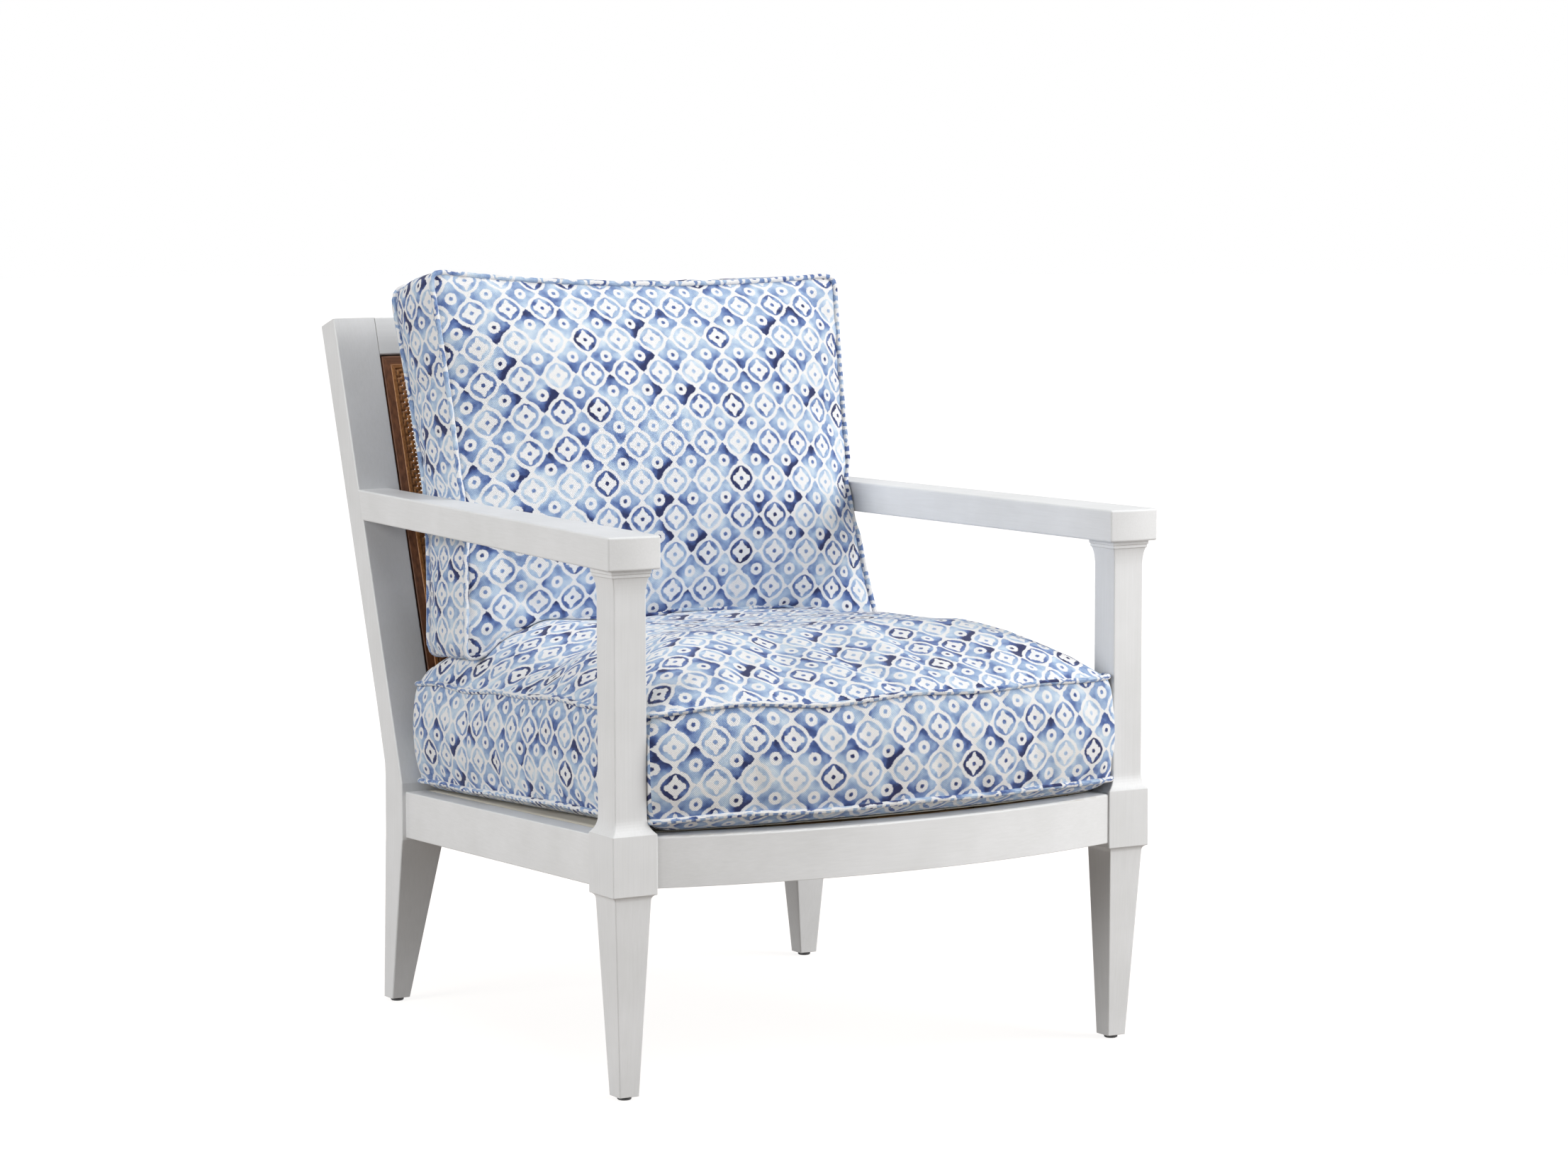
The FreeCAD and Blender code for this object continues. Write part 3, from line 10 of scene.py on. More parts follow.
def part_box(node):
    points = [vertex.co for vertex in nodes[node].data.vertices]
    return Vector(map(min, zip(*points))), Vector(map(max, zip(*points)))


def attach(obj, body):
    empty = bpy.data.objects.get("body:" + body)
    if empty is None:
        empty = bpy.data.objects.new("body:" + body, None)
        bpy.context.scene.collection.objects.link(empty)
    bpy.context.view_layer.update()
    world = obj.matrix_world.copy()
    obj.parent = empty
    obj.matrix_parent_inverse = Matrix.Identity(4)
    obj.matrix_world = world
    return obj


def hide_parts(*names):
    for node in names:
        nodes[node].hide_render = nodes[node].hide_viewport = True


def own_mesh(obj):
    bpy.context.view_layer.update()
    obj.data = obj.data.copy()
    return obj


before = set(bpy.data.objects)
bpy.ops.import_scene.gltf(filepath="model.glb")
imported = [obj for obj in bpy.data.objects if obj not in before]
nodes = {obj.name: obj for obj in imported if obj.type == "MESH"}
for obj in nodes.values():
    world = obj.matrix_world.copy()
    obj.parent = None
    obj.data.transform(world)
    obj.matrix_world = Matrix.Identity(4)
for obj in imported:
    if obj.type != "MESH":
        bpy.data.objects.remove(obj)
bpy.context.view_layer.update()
scene = bpy.context.scene
print("frame: loaded", len(nodes), "nodes")

# camera: a long lens, a little above the arms, to the left of the chair as seen from the front
cameraView = {
    "place": (-2.7240, -4.7325, 1.0917),
    "turn": 30.8436,        # degrees from straight ahead
    "dip": 5.8171,
    "roll": -0.1099,
    "focalPixels": 6234.56,
    "pictureWidth": 2212,
    "sensor": 36.0,
}


def aimCamera(view):
    turn, dip, roll = (math.radians(view[key]) for key in ("turn", "dip", "roll"))
    ahead = Vector((math.sin(turn) * math.cos(dip), math.cos(turn) * math.cos(dip), -math.sin(dip)))
    level = Vector((math.cos(turn), -math.sin(turn), 0.0))
    upright = level.cross(ahead)
    right = level * math.cos(roll) + upright * math.sin(roll)
    up = upright * math.cos(roll) - level * math.sin(roll)
    data = bpy.data.cameras.new("photoCamera")
    data.sensor_width = view["sensor"]
    data.lens = view["focalPixels"] / view["pictureWidth"] * view["sensor"]
    data.clip_end = 100.0
    camera = bpy.data.objects.new("photoCamera", data)
    scene.collection.objects.link(camera)
    turned = Matrix((right, up, -ahead)).transposed()
    camera.matrix_world = Matrix.Translation(view["place"]) @ turned.to_4x4()
    scene.camera = camera


aimCamera(cameraView)
print("camera: placed")

# what the word after a node's kind sets
nodeModes = {"Math": "operation", "VectorMath": "operation", "MapRange": "interpolation_type", "Mix": "data_type",
             "UVMap": "uv_map"}
white = (1.0, 1.0, 1.0, 1.0)


def linearColor(code):
    # sRGB hex to linear red, green, blue
    shares = [int(code[i:i + 2], 16) / 255 for i in (1, 3, 5)]
    linear = [s / 12.92 if s <= 0.04045 else ((s + 0.055) / 1.055) ** 2.4 for s in shares]
    return (*linear, 1.0)


def addNode(tree, name, kind, inputs=(), settings=None):
    # one node with its settings and links. Inputs go by socket or in order: a number, a colour as hex, or the name
    # of an earlier node, with the output after a point where it isn't the first.
    kind, _, mode = kind.partition(" ")
    node = tree.nodes.new("ShaderNode" + kind)
    node.name = name
    if mode:
        setattr(node, nodeModes[kind], mode)
    for key, value in (settings or {}).items():
        setattr(node, key, value)
    for key, value in inputs.items() if isinstance(inputs, dict) else enumerate(inputs):
        if not isinstance(value, str):
            node.inputs[key].default_value = value
        elif value.startswith("#"):
            node.inputs[key].default_value = linearColor(value)
        else:
            source, _, output = value.partition(".")
            socket = tree.nodes[source].outputs[int(output) if output.isdigit() else output or 0]
            tree.links.new(socket, node.inputs[key])


def fillTree(tree, rows):
    # each row is one node: name, kind with its mode, inputs and settings
    tree.nodes.clear()
    for row in rows:
        addNode(tree, *row)


def makeMaterial(name, rows, stops=()):
    # stops fill the colour ramp: share along it and its sRGB hex
    material = bpy.data.materials.new(name)
    material.use_nodes = True
    tree = material.node_tree
    fillTree(tree, [*rows, ("output", "OutputMaterial", ("surface",))])
    if stops:
        elements = tree.nodes["ramp"].color_ramp.elements
        while len(elements) < len(stops):
            elements.new(0.5)
        for element, (place, code) in zip(elements, stops):
            element.position = place
            element.color = linearColor(code)
    return material


# printed linen: coarse plain-weave upholstery linen, block printed with rings and dots in washed indigo.
# It reads as matt cloth whose print breaks up on the threads.
linenPrint = {
    "repeat": (0.0475, 0.0460),   # one ring across and one up
    "ringOuter": 0.410,
    "ringReach": 0.105,           # rings reach out to meet their neighbours beside, above and below them
    "reachPower": 1.2,
    "reachLean": -0.12,           # a little further above and below than beside
    "ringInner": 0.312,           # it is wider by ringWide along and across the threads
    "ringWide": 0.036,
    "starWaist": 0.196,           # the white shape inside each ring: blunt lobes beside and points above and below
    "starSide": 0.063,
    "lobe": (0.22, 0.015),
    "starUp": 0.108,
    "pointPower": 8.0,
    "dot": 0.057,
    "smallRingInner": 0.057,
    "smallRingOuter": 0.168,
    "edge": 0.014,                # half width of the soft edge of each printed line
    "fray": 620.0,
    "ragged": 0.060,
    "drift": (9.0, 0.6),          # the washes' broad drift and their blotches: scale and strength
    "blotch": (52.0, 1.5),
    "tones": {"field": (0.24, 0.36), "ring": (0.85, 0.08), "dot": (0.75, 0.25), "smallDot": (0.45, 0.50)},
    "tip": (2.6, 1.0, -0.08),     # how much darker a figure gets towards one side, and its lightest
    "thread": 0.0022,             # drawn at twice the real thread spacing so that the weave shows
    "slubs": (260.0, 2.2),
    # the ground's first colour is the painted shade of the lowered crossings, its second the raised ones
    "ground": ("#E6E6E7", "#F2F2F2"),
    "inks": ((0.0, "#D9E4ED"), (0.25, "#B5CAE0"), (0.5, "#8CA5CC"), (0.76, "#5068A2"), (1.0, "#272F5A")),
}


def printedLinen(values):
    # tiles of one ring each, whose outlines a fine noise frays
    rows = [
        ("fabric", "UVMap fabric"),
        ("wobble", "TexNoise", {"Vector": "fabric", "Scale": values["fray"], "Detail": 1.0}),
        ("centred", "VectorMath SUBTRACT", ("wobble.Color", (0.5, 0.5, 0.5))),
        ("shift", "VectorMath SCALE", {0: "centred", "Scale": values["ragged"]}),
        ("repeats", "VectorMath DIVIDE", ("fabric", (*values["repeat"], 1.0))),
        ("frayed", "VectorMath ADD", ("repeats", "shift")),
        ("tiles", "SeparateXYZ", ("frayed",)),
    ]
    # rings stand in the middles of the tiles and small dots at their corners: the place inside the tile around a
    # point, from -0.5 to 0.5, its distance from the middle, and a chance and a colour for each of 4 by 4 tiles
    for figure, offset in (("ring", 0.0), ("corner", 0.5)):
        for axis in "XY":
            rows += [
                (figure + "Moved" + axis, "Math ADD", ("tiles." + axis, offset)),
                (figure + "Whole" + axis, "Math FLOOR", (figure + "Moved" + axis,)),
                (figure + "Part" + axis, "Math SUBTRACT", (figure + "Moved" + axis, figure + "Whole" + axis)),
                (figure + axis, "Math SUBTRACT", (figure + "Part" + axis, 0.5)),
                (figure + "Square" + axis, "Math POWER", (figure + axis, 2.0)),
                (figure + "Number" + axis, "Math FLOORED_MODULO", (figure + "Whole" + axis, 4.0)),
            ]
        rows += [
            (figure + "Place", "CombineXYZ", (figure + "NumberX", figure + "NumberY", offset)),
            (figure + "Chance", "TexWhiteNoise", {"Vector": figure + "Place"}),
            (figure + "Sum", "Math ADD", (figure + "SquareX", figure + "SquareY")),
            (figure + "Distance", "Math SQRT", (figure + "Sum",)),
        ]
    # sine is that of twice the angle round the ring: 0 along the threads and 1 between them; upright is 0 beside
    # the centre and 1 above and below it. The rings reach out to their neighbours where sine is 0.
    rows += [
        ("ringSquare", "Math POWER", ("ringDistance", 2.0)),
        ("square", "Math MAXIMUM", ("ringSquare", 0.0004)),
        ("product", "Math MULTIPLY", ("ringX", "ringY")),
        ("twice", "Math MULTIPLY", ("product", 2.0)),
        ("signedSine", "Math DIVIDE", ("twice", "square")),
        ("sine", "Math ABSOLUTE", ("signedSine",)),
        ("upright", "Math DIVIDE", ("ringSquareY", "square")),
        ("lobe", "MapRange SMOOTHSTEP",
         {"Value": "upright", "From Min": values["lobe"][0], "From Max": values["lobe"][1]}),
        ("above", "Math MULTIPLY_ADD", ("upright", 2.0, -1.0)),
        ("aboveOnly", "Math MAXIMUM", ("above", 0.0)),
        ("point", "Math POWER", ("aboveOnly", values["pointPower"])),
        ("starBlunt", "Math MULTIPLY_ADD", ("lobe", values["starSide"], values["starWaist"])),
        ("starRadius", "Math MULTIPLY_ADD", ("point", values["starUp"], "starBlunt")),
        ("innerRadius", "Math MULTIPLY_ADD",
         ("sine", -values["ringWide"], values["ringInner"] + values["ringWide"])),
        ("leaning", "Math MULTIPLY_ADD", ("upright", values["reachLean"], "sine")),
        ("nearness", "Math MULTIPLY_ADD", ("leaning", -2.0, 1.0)),
        ("nearOnly", "Math MAXIMUM", ("nearness", 0.0)),
        ("reach", "Math POWER", ("nearOnly", values["reachPower"])),
        ("outerRadius", "Math MULTIPLY_ADD", ("reach", values["ringReach"], values["ringOuter"])),
    ]
    # each of these is 0 inside its radius and 1 outside it, with a soft edge
    for name, figure, radius in (
            ("star", "ring", "starRadius"), ("inner", "ring", "innerRadius"), ("dot", "ring", values["dot"]),
            ("field", "ring", "outerRadius"), ("smallInner", "corner", values["smallRingInner"]),
            ("smallOuter", "corner", values["smallRingOuter"])):
        rows += [
            (name + "From", "Math SUBTRACT", (radius, values["edge"])),
            (name + "To", "Math ADD", (radius, values["edge"])),
            (name, "MapRange SMOOTHSTEP",
             {"Value": figure + "Distance", "From Min": name + "From", "From Max": name + "To"}),
        ]
    rows += [
        ("withinInner", "Math SUBTRACT", (1.0, "inner")),
        ("ringInk", "Math MULTIPLY", ("star", "withinInner")),
        ("dotInk", "Math SUBTRACT", (1.0, "dot")),
        ("withinSmall", "Math SUBTRACT", (1.0, "smallOuter")),
        ("smallRing", "Math MULTIPLY", ("smallInner", "withinSmall")),
        ("besideSmall", "Math SUBTRACT", (1.0, "smallRing")),
        ("fieldInk", "Math MULTIPLY", ("field", "besideSmall")),
        ("centreInk", "Math MAXIMUM", ("ringInk", "dotInk")),
        ("ink", "Math MAXIMUM", ("centreInk", "fieldInk")),
    ]
    # washes: a broad drift of strength and blotches within each figure
    for name, detail in (("drift", 1.0), ("blotch", 3.0)):
        rows += [
            (name, "TexNoise", {"Vector": "fabric", "Scale": values[name][0], "Detail": detail}),
            (name + "Centred", "Math SUBTRACT", (name, 0.5)),
            (name + "Wash", "Math MULTIPLY", (name + "Centred", values[name][1])),
        ]
    # every figure has a tone of its own
    tones = {"field": "cornerChance", "ring": "ringChance", "dot": "ringChance", "smallDot": "cornerChance"}
    rows += [(name + "Tone", "Math MULTIPLY_ADD", (chance, *values["tones"][name])) for name, chance in tones.items()]
    rows += [
        ("wash", "Math ADD", ("driftWash", "blotchWash")),
        # the field between the rings is darker towards one side of each corner, a few of them almost to navy
        ("leanColor", "VectorMath SUBTRACT", ("cornerChance.Color", (0.5, 0.5, 0.5))),
        ("lean", "SeparateXYZ", ("leanColor",)),
        ("towardsX", "Math MULTIPLY", ("cornerX", "lean.X")),
        ("towardsY", "Math MULTIPLY", ("cornerY", "lean.Y")),
        ("towards", "Math ADD", ("towardsX", "towardsY")),
        ("towardsOnly", "Math MAXIMUM", ("towards", values["tip"][2])),
        ("contrast", "Math MULTIPLY_ADD", ("cornerChance", *values["tip"][:2])),
        ("tip", "Math MULTIPLY", ("towardsOnly", "contrast")),
        ("fieldTipped", "Math ADD", ("fieldTone", "tip")),
        ("nearSmallDot", "Math LESS_THAN", ("cornerDistance", 0.1)),
        ("outerTone", "Mix FLOAT", {0: "nearSmallDot", 2: "fieldTipped", 3: "smallDotTone"}),
        ("nearDot", "Math LESS_THAN", ("ringDistance", 0.15)),
        ("innerTone", "Mix FLOAT", {0: "nearDot", 2: "ringTone", 3: "dotTone"}),
        ("figureTone", "Mix FLOAT", {0: "field", 2: "innerTone", 3: "outerTone"}),
        ("washed", "Math ADD", ("figureTone", "wash")),
        # plain weave: threads cross over and under, which lifts every second crossing; the ground is painted darker at
        # the lowered crossings, as painted shade in the weave's hollows
        ("straight", "VectorMath SCALE", {0: "fabric", "Scale": 2 * math.pi / values["thread"]}),
        ("slubs", "TexNoise", {"Vector": "fabric", "Scale": values["slubs"][0], "Detail": 2.0}),
        ("uneven", "VectorMath MULTIPLY_ADD",
         ("slubs.Color", (values["slubs"][1], values["slubs"][1], 0.0), "straight")),
        ("threads", "SeparateXYZ", ("uneven",)),
        ("warp", "Math SINE", ("threads.X",)),
        ("weft", "Math SINE", ("threads.Y",)),
        ("weave", "Math MULTIPLY", ("warp", "weft")),
        ("tone", "Math MULTIPLY_ADD", ("weave", 0.10, "washed")),
        ("ramp", "ValToRGB", ("tone",)),
        ("height", "Math MULTIPLY_ADD", ("weave", 0.5, 0.5)),
        # painted shade: the undyed ground is darker where the weave is low
        ("ground", "Mix RGBA", {0: "height", 6: values["ground"][0], 7: values["ground"][1]}),
        ("colour", "Mix RGBA", {0: "ink", 6: "ground.2", 7: "ramp"}),
        ("bump", "Bump", {"Strength": 0.45, "Distance": 0.0006, "Height": "weave"}),
        ("surface", "BsdfPrincipled", {"Base Color": "colour.2", "Normal": "bump", "Roughness": 0.88,
                                       "Specular IOR Level": 0.25, "Sheen Weight": 0.14}),
    ]
    return makeMaterial("printedLinen", rows, values["inks"])


linen = printedLinen(linenPrint)
print("materials: linen")


def grainScale(axis, along, across):
    # noise scales that draw a pattern out along one axis
    return tuple(along if name == axis else across for name in "XYZ")


# brushed paint: off-white satin paint over close-grained hardwood, brushed along each piece, with a little
# brown glaze on the arrises, and in the joints a brown-grey tint from ambient occlusion that is partly glaze
# and partly painted shade. It reads as soft white with faint streaks.
paintValues = {
    "color": "#E4E5E6", "streak": "#D9DADA", "glaze": "#B4AB9E", "edge": 0.0011, "joint": 0.005, "roughness": 0.42,
    "brush": (10.0, 420.0), "clouds": 14.0,
    "arris": 0.42, "shelter": 0.12,     # the most glaze on an arris, and the most glaze and painted shade in a joint
}


def brushedPaint(axis, values):
    rows = [
        ("place", "TexCoord"),
        ("along", "Mapping", {"Vector": "place.Object", "Scale": grainScale(axis, *values["brush"])}),
        ("streaks", "TexNoise", {"Vector": "along", "Scale": 1.0, "Detail": 4.0, "Roughness": 0.6}),
        ("clouds", "TexNoise", {"Vector": "place.Object", "Scale": values["clouds"], "Detail": 3.0}),
        ("mixed", "Math MULTIPLY_ADD", ("streaks", 0.65, "clouds")),
        ("share", "MapRange", {"Value": "mixed", "From Min": 0.55, "From Max": 1.15}),
        ("paint", "Mix RGBA", {0: "share", 6: values["streak"], 7: values["color"]}),
        ("eased", "Bevel", {"Radius": values["edge"]}, {"samples": 6}),
        ("flat", "NewGeometry"),
        ("facing", "VectorMath DOT_PRODUCT", ("eased", "flat.True Normal")),
        ("arris", "MapRange", {"Value": "facing.Value", "From Min": 0.985, "From Max": 0.90}),
        ("broken", "MapRange", {"Value": "clouds", "From Min": 0.40, "From Max": 0.62, "To Max": values["arris"]}),
        ("brokenArris", "Math MULTIPLY", ("arris", "broken")),
        # painted shade: ambient occlusion tints the paint towards the glaze colour in joints and creases, partly glaze
        # and partly the shade there
        ("shelter", "AmbientOcclusion", {"Distance": values["joint"]}, {"samples": 6}),
        ("joint", "MapRange", {"Value": "shelter.AO", "From Min": 0.52, "From Max": 0.15, "To Max": values["shelter"]}),
        ("glaze", "Math MAXIMUM", ("brokenArris", "joint")),
        ("colour", "Mix RGBA", {0: "glaze", 6: "paint.2", 7: values["glaze"]}),
        ("bump", "Bump", {"Strength": 0.35, "Distance": 0.00012, "Height": "streaks", "Normal": "eased"}),
        ("surface", "BsdfPrincipled", {"Base Color": "colour.2", "Normal": "bump", "Roughness": values["roughness"]}),
    ]
    return makeMaterial("brushedPaint" + axis, rows)


# stained and bare woods: colours run in long streaks along the grain
woodValues = {
    "stainedWood": {"light": "#8A5A3A", "dark": "#5C3822", "grain": 260.0, "roughness": 0.38, "bump": 0.0002},
    "bareBeech": {"light": "#D9B98C", "dark": "#B98F60", "grain": 180.0, "roughness": 0.65, "bump": 0.0002},
}


def grainedWood(name, axis):
    values = woodValues[name]
    grain = grainScale(axis, values["grain"] * 0.04, values["grain"])
    rows = [
        ("place", "TexCoord"),
        ("along", "Mapping", {"Vector": "place.Object", "Scale": grain}),
        ("streaks", "TexNoise", {"Vector": "along", "Scale": 1.0, "Detail": 5.0, "Roughness": 0.62}),
        ("ramp", "ValToRGB", ("streaks",)),
        ("eased", "Bevel", {"Radius": 0.0008}, {"samples": 6}),
        ("bump", "Bump", {"Strength": 0.5, "Distance": values["bump"], "Height": "streaks", "Normal": "eased"}),
        ("surface", "BsdfPrincipled", {"Base Color": "ramp", "Normal": "bump", "Roughness": values["roughness"]}),
    ]
    return makeMaterial(name + axis, rows, ((0.32, values["dark"]), (0.68, values["light"])))


# cane: split strands stained with the panel; each strand has its own shade
caneStain = ((0.25, "#6B3D1C"), (0.5, "#94602F"), (0.75, "#B98247"))


def stainedCane(name, axis):
    # woven strands have no axis: their fibres run along their own UV map
    source = "fabric" if axis is None else "place.Object"
    stretch = (1.0, 60.0, 1.0) if axis is None else grainScale(axis, 60.0, 900.0)
    rows = [
        ("fabric", "UVMap fabric") if axis is None else ("place", "TexCoord"),
        ("along", "Mapping", {"Vector": source, "Scale": stretch}),
        ("fibres", "TexNoise", {"Vector": "along", "Scale": 1.0, "Detail": 3.0}),
        ("ramp", "ValToRGB", ("fibres",)),
        ("bump", "Bump", {"Strength": 0.4, "Distance": 0.0001, "Height": "fibres"}),
        ("surface", "BsdfPrincipled", {"Base Color": "ramp", "Normal": "bump", "Roughness": 0.45}),
    ]
    return makeMaterial(name, rows, caneStain)


# plain fittings: moulded polyethylene glides and zinc-plated steel, with the faint specks of their surfaces
plainValues = {
    "mouldedGlide": {"light": "#4A4A4C", "dark": "#3B3B3D", "scale": 900.0, "metallic": 0.0, "roughness": 0.55,
                     "bump": 0.00005},
    "zincSteel": {"light": "#C9C9C6", "dark": "#A9A9A8", "scale": 300.0, "metallic": 1.0, "roughness": 0.35,
                  "bump": 0.00003},
}


def plainFinish(name, values):
    rows = [
        ("place", "TexCoord"),
        ("specks", "TexNoise", {"Vector": "place.Object", "Scale": values["scale"], "Detail": 3.0}),
        ("ramp", "ValToRGB", ("specks",)),
        ("bump", "Bump", {"Strength": 0.4, "Distance": values["bump"], "Height": "specks"}),
        ("surface", "BsdfPrincipled", {"Base Color": "ramp", "Normal": "bump", "Roughness": values["roughness"],
                                       "Metallic": values["metallic"]}),
    ]
    return makeMaterial(name, rows, ((0.3, values["dark"]), (0.7, values["light"])))


# jute webbing, black lining cloth, cotton deck cloth and zip tape, each with its thread spacing
# each cloth's dark colour is the painted shade of the lowered crossings in its weave, its light colour the raised ones
clothValues = {
    "juteWebbing": {"light": "#B79C72", "dark": "#8C7048", "thread": 0.0030, "roughness": 0.95},
    "blackLining": {"light": "#3A3A3D", "dark": "#222224", "thread": 0.0016, "roughness": 0.95},
    "platformCloth": {"light": "#D9D4C8", "dark": "#BFB9AB", "thread": 0.0016, "roughness": 0.95},
    "zipTape": {"light": "#D8DBE2", "dark": "#BDC2CC", "thread": 0.0012, "roughness": 0.85},
}


def plainCloth(name, values):
    # plain weave on object coordinates: the product of two waves is a checker of raised threads, and the lowered
    # crossings are painted in the dark colour as painted shade in the weave's hollows
    rows = [
        ("place", "TexCoord"),
        ("threads", "VectorMath SCALE", {0: "place.Object", "Scale": 2 * math.pi / values["thread"]}),
        ("wave", "VectorMath SINE", ("threads",)),
        ("waves", "SeparateXYZ", ("wave",)),
        ("weave", "Math MULTIPLY", ("waves.X", "waves.Y")),
        ("share", "MapRange", {"Value": "weave", "From Min": -1.0}),
        # painted shade: lowered crossings take the dark colour
        ("colour", "Mix RGBA", {0: "share", 6: values["dark"], 7: values["light"]}),
        ("bump", "Bump", {"Strength": 0.5, "Distance": 0.0004, "Height": "weave"}),
        ("surface", "BsdfPrincipled", {"Base Color": "colour.2", "Normal": "bump", "Roughness": values["roughness"]}),
    ]
    return makeMaterial(name, rows)


finishes = {"painted" + axis: brushedPaint(axis, paintValues) for axis in "XYZ"}
finishes.update({"stained" + axis: grainedWood("stainedWood", axis) for axis in "XZ"})
finishes.update({"beech" + axis: grainedWood("bareBeech", axis) for axis in "XYZ"})
finishes.update({"spline" + axis: stainedCane("stainedSpline" + axis, axis) for axis in "XZ"})
finishes.update({name: plainFinish(name, values) for name, values in plainValues.items()})
finishes.update({name: plainCloth(name, values) for name, values in clothValues.items()})
finishes["stainedCane"] = stainedCane("stainedCane", None)

# carried-over nodes by the starts of their names
nodeFinishes = {
    "paintedX": ("seat_rail_front", "seat_rail_rear", "back_rail_top", "back_rail_bottom", "panel_stop_top",
                 "panel_stop_bottom"),
    "paintedY": ("arm_left", "arm_right", "seat_rail_left", "seat_rail_right", "arm_screw_plugs"),
    "paintedZ": ("front_leg", "rear_post", "panel_stop_left", "panel_stop_right"),
    "stainedX": ("cane_frame_top", "cane_frame_bottom"),
    "stainedZ": ("cane_frame_left", "cane_frame_right"),
    "splineX": ("cane_spline_top", "cane_spline_bottom"),
    "splineZ": ("cane_spline_left", "cane_spline_right"),
    "beechX": ("seat_rail_dowels", "back_rail_dowels", "corner_block_front", "corner_block_rear"),
    "beechY": ("deck_strip",),
    "beechZ": ("arm_dowels",),
    "zincSteel": ("arm_screws", "corner_block_screws", "deck_screws", "panel_screws"),
    "mouldedGlide": ("glide",),
    "juteWebbing": ("webbing",),
    "platformCloth": ("deck_cover",),
    "blackLining": ("dust_cover",),
}


def dressNodes():
    for finish, starts in nodeFinishes.items():
        for name, node in nodes.items():
            if name.startswith(starts):
                node.data.materials.clear()
                node.data.materials.append(finishes[finish])


dressNodes()
print("materials: frame dressed")


# mesh helpers
def makeMesh(name, points, faces, material, uvs=None):
    # uvs holds one pair for each face corner, in the order of the faces
    mesh = bpy.data.meshes.new(name)
    mesh.from_pydata(points.tolist(), [], faces.tolist())
    layer = mesh.uv_layers.new(name="fabric")
    if uvs is not None:
        layer.data.foreach_set("uv", np.ascontiguousarray(uvs, dtype=np.float32).ravel())
    mesh.polygons.foreach_set("use_smooth", [True] * len(mesh.polygons))
    mesh.materials.append(material)
    mesh.update()
    piece = bpy.data.objects.new(name, mesh)
    scene.collection.objects.link(piece)
    return piece


def gridFaces(rows, columns, closedRows, closedColumns):
    # quads of a grid whose points are numbered row by row; a closed direction joins its last line to its first
    down = np.arange(rows if closedRows else rows - 1)
    over = np.arange(columns if closedColumns else columns - 1)
    i, j = np.meshgrid(down, over, indexing="ij")
    i2, j2 = (i + 1) % rows, (j + 1) % columns
    corners = [i * columns + j, i * columns + j2, i2 * columns + j2, i2 * columns + j]
    return np.stack(corners, axis=-1).reshape(-1, 4)


def gridUvs(u, v):
    # face-corner pairs for gridFaces, from arrays that have one line more where the grid is closed
    first, last = slice(0, -1), slice(1, None)
    corners = [(first, first), (first, last), (last, last), (last, first)]
    return np.stack([np.stack([u[c], v[c]], axis=-1) for c in corners], axis=-2).reshape(-1, 2)


def flipUvs(uvs):
    # pairs for faces whose corners run the other way round
    return uvs.reshape(-1, 4, 2)[:, ::-1].reshape(-1, 2)


def joinParts(parts):
    # points and faces of several parts as one pair of lists
    firsts = np.cumsum([0] + [len(points) for points, faces in parts])
    faces = [part[1] + first for part, first in zip(parts, firsts)]
    return np.concatenate([points for points, _ in parts]), np.concatenate(faces)


def arcLengths(points, axis):
    # length along each line of a grid, counted from its first point
    steps = np.linalg.norm(np.diff(points, axis=axis), axis=-1)
    lengths = np.cumsum(steps, axis=axis)
    start = np.zeros_like(np.take(lengths, [0], axis=axis))
    return np.concatenate([start, lengths], axis=axis)


def loopLengths(loop):
    # length round a closed line, from its first point and back to it
    return arcLengths(np.concatenate([loop, loop[:1]]), 0)


def resample(line, shares):
    # points of a polyline at shares of its whole length
    lengths = arcLengths(line, 0)
    wanted = shares * lengths[-1]
    return np.stack([np.interp(wanted, lengths, line[:, k]) for k in range(line.shape[1])], axis=-1)


def roundedSides(sides, radius, sharesAcross, sharesUp):
    # four sides that meet in corners, given head to tail as polylines: each corner is rounded by a quadratic
    # curve, and each side comes back from the middle of one corner to the middle of the next
    trimmed, bends = [], []
    for side in sides:
        cut = radius / arcLengths(side, 0)[-1]
        trimmed.append(resample(side, np.linspace(cut, 1 - cut, 200)))
    for i in range(4):
        a, corner, b = trimmed[i][-1], sides[i][-1], trimmed[(i + 1) % 4][0]
        t = np.linspace(0, 1, 21)[:, None]
        bends.append((1 - t) ** 2 * a + 2 * t * (1 - t) * corner + t ** 2 * b)
    whole = []
    for i in range(4):
        line = np.concatenate([bends[i - 1][10:], trimmed[i][1:-1], bends[i][:11]])
        whole.append(resample(line, sharesAcross if i % 2 == 0 else sharesUp))
    return whole


def coonsGrid(sides, sharesAcross, sharesUp):
    # surface between four sides (bottom left to right, right upwards, top right to left, left downwards):
    # the two blends across and up are added, and the blend of the corners is taken away
    bottom, right, top, left = sides[0], sides[1], sides[2][::-1], sides[3][::-1]
    s, t = sharesAcross[None, :, None], sharesUp[:, None, None]
    blended = (1 - t) * bottom[None] + t * top[None] + (1 - s) * left[:, None] + s * right[:, None]
    corners = (1 - s) * (1 - t) * bottom[0] + s * (1 - t) * bottom[-1] + (1 - s) * t * top[0] + s * t * top[-1]
    return blended - corners


def seamLoop(rows, columns):
    # row and column numbers round the edge of a grid, from its lower left corner and back to before it
    across, up = np.arange(columns - 1), np.arange(rows - 1)
    row = np.concatenate([0 * across, up, 0 * across + rows - 1, rows - 1 - up])
    column = np.concatenate([across, 0 * up + columns - 1, columns - 1 - across, 0 * up])
    return row, column


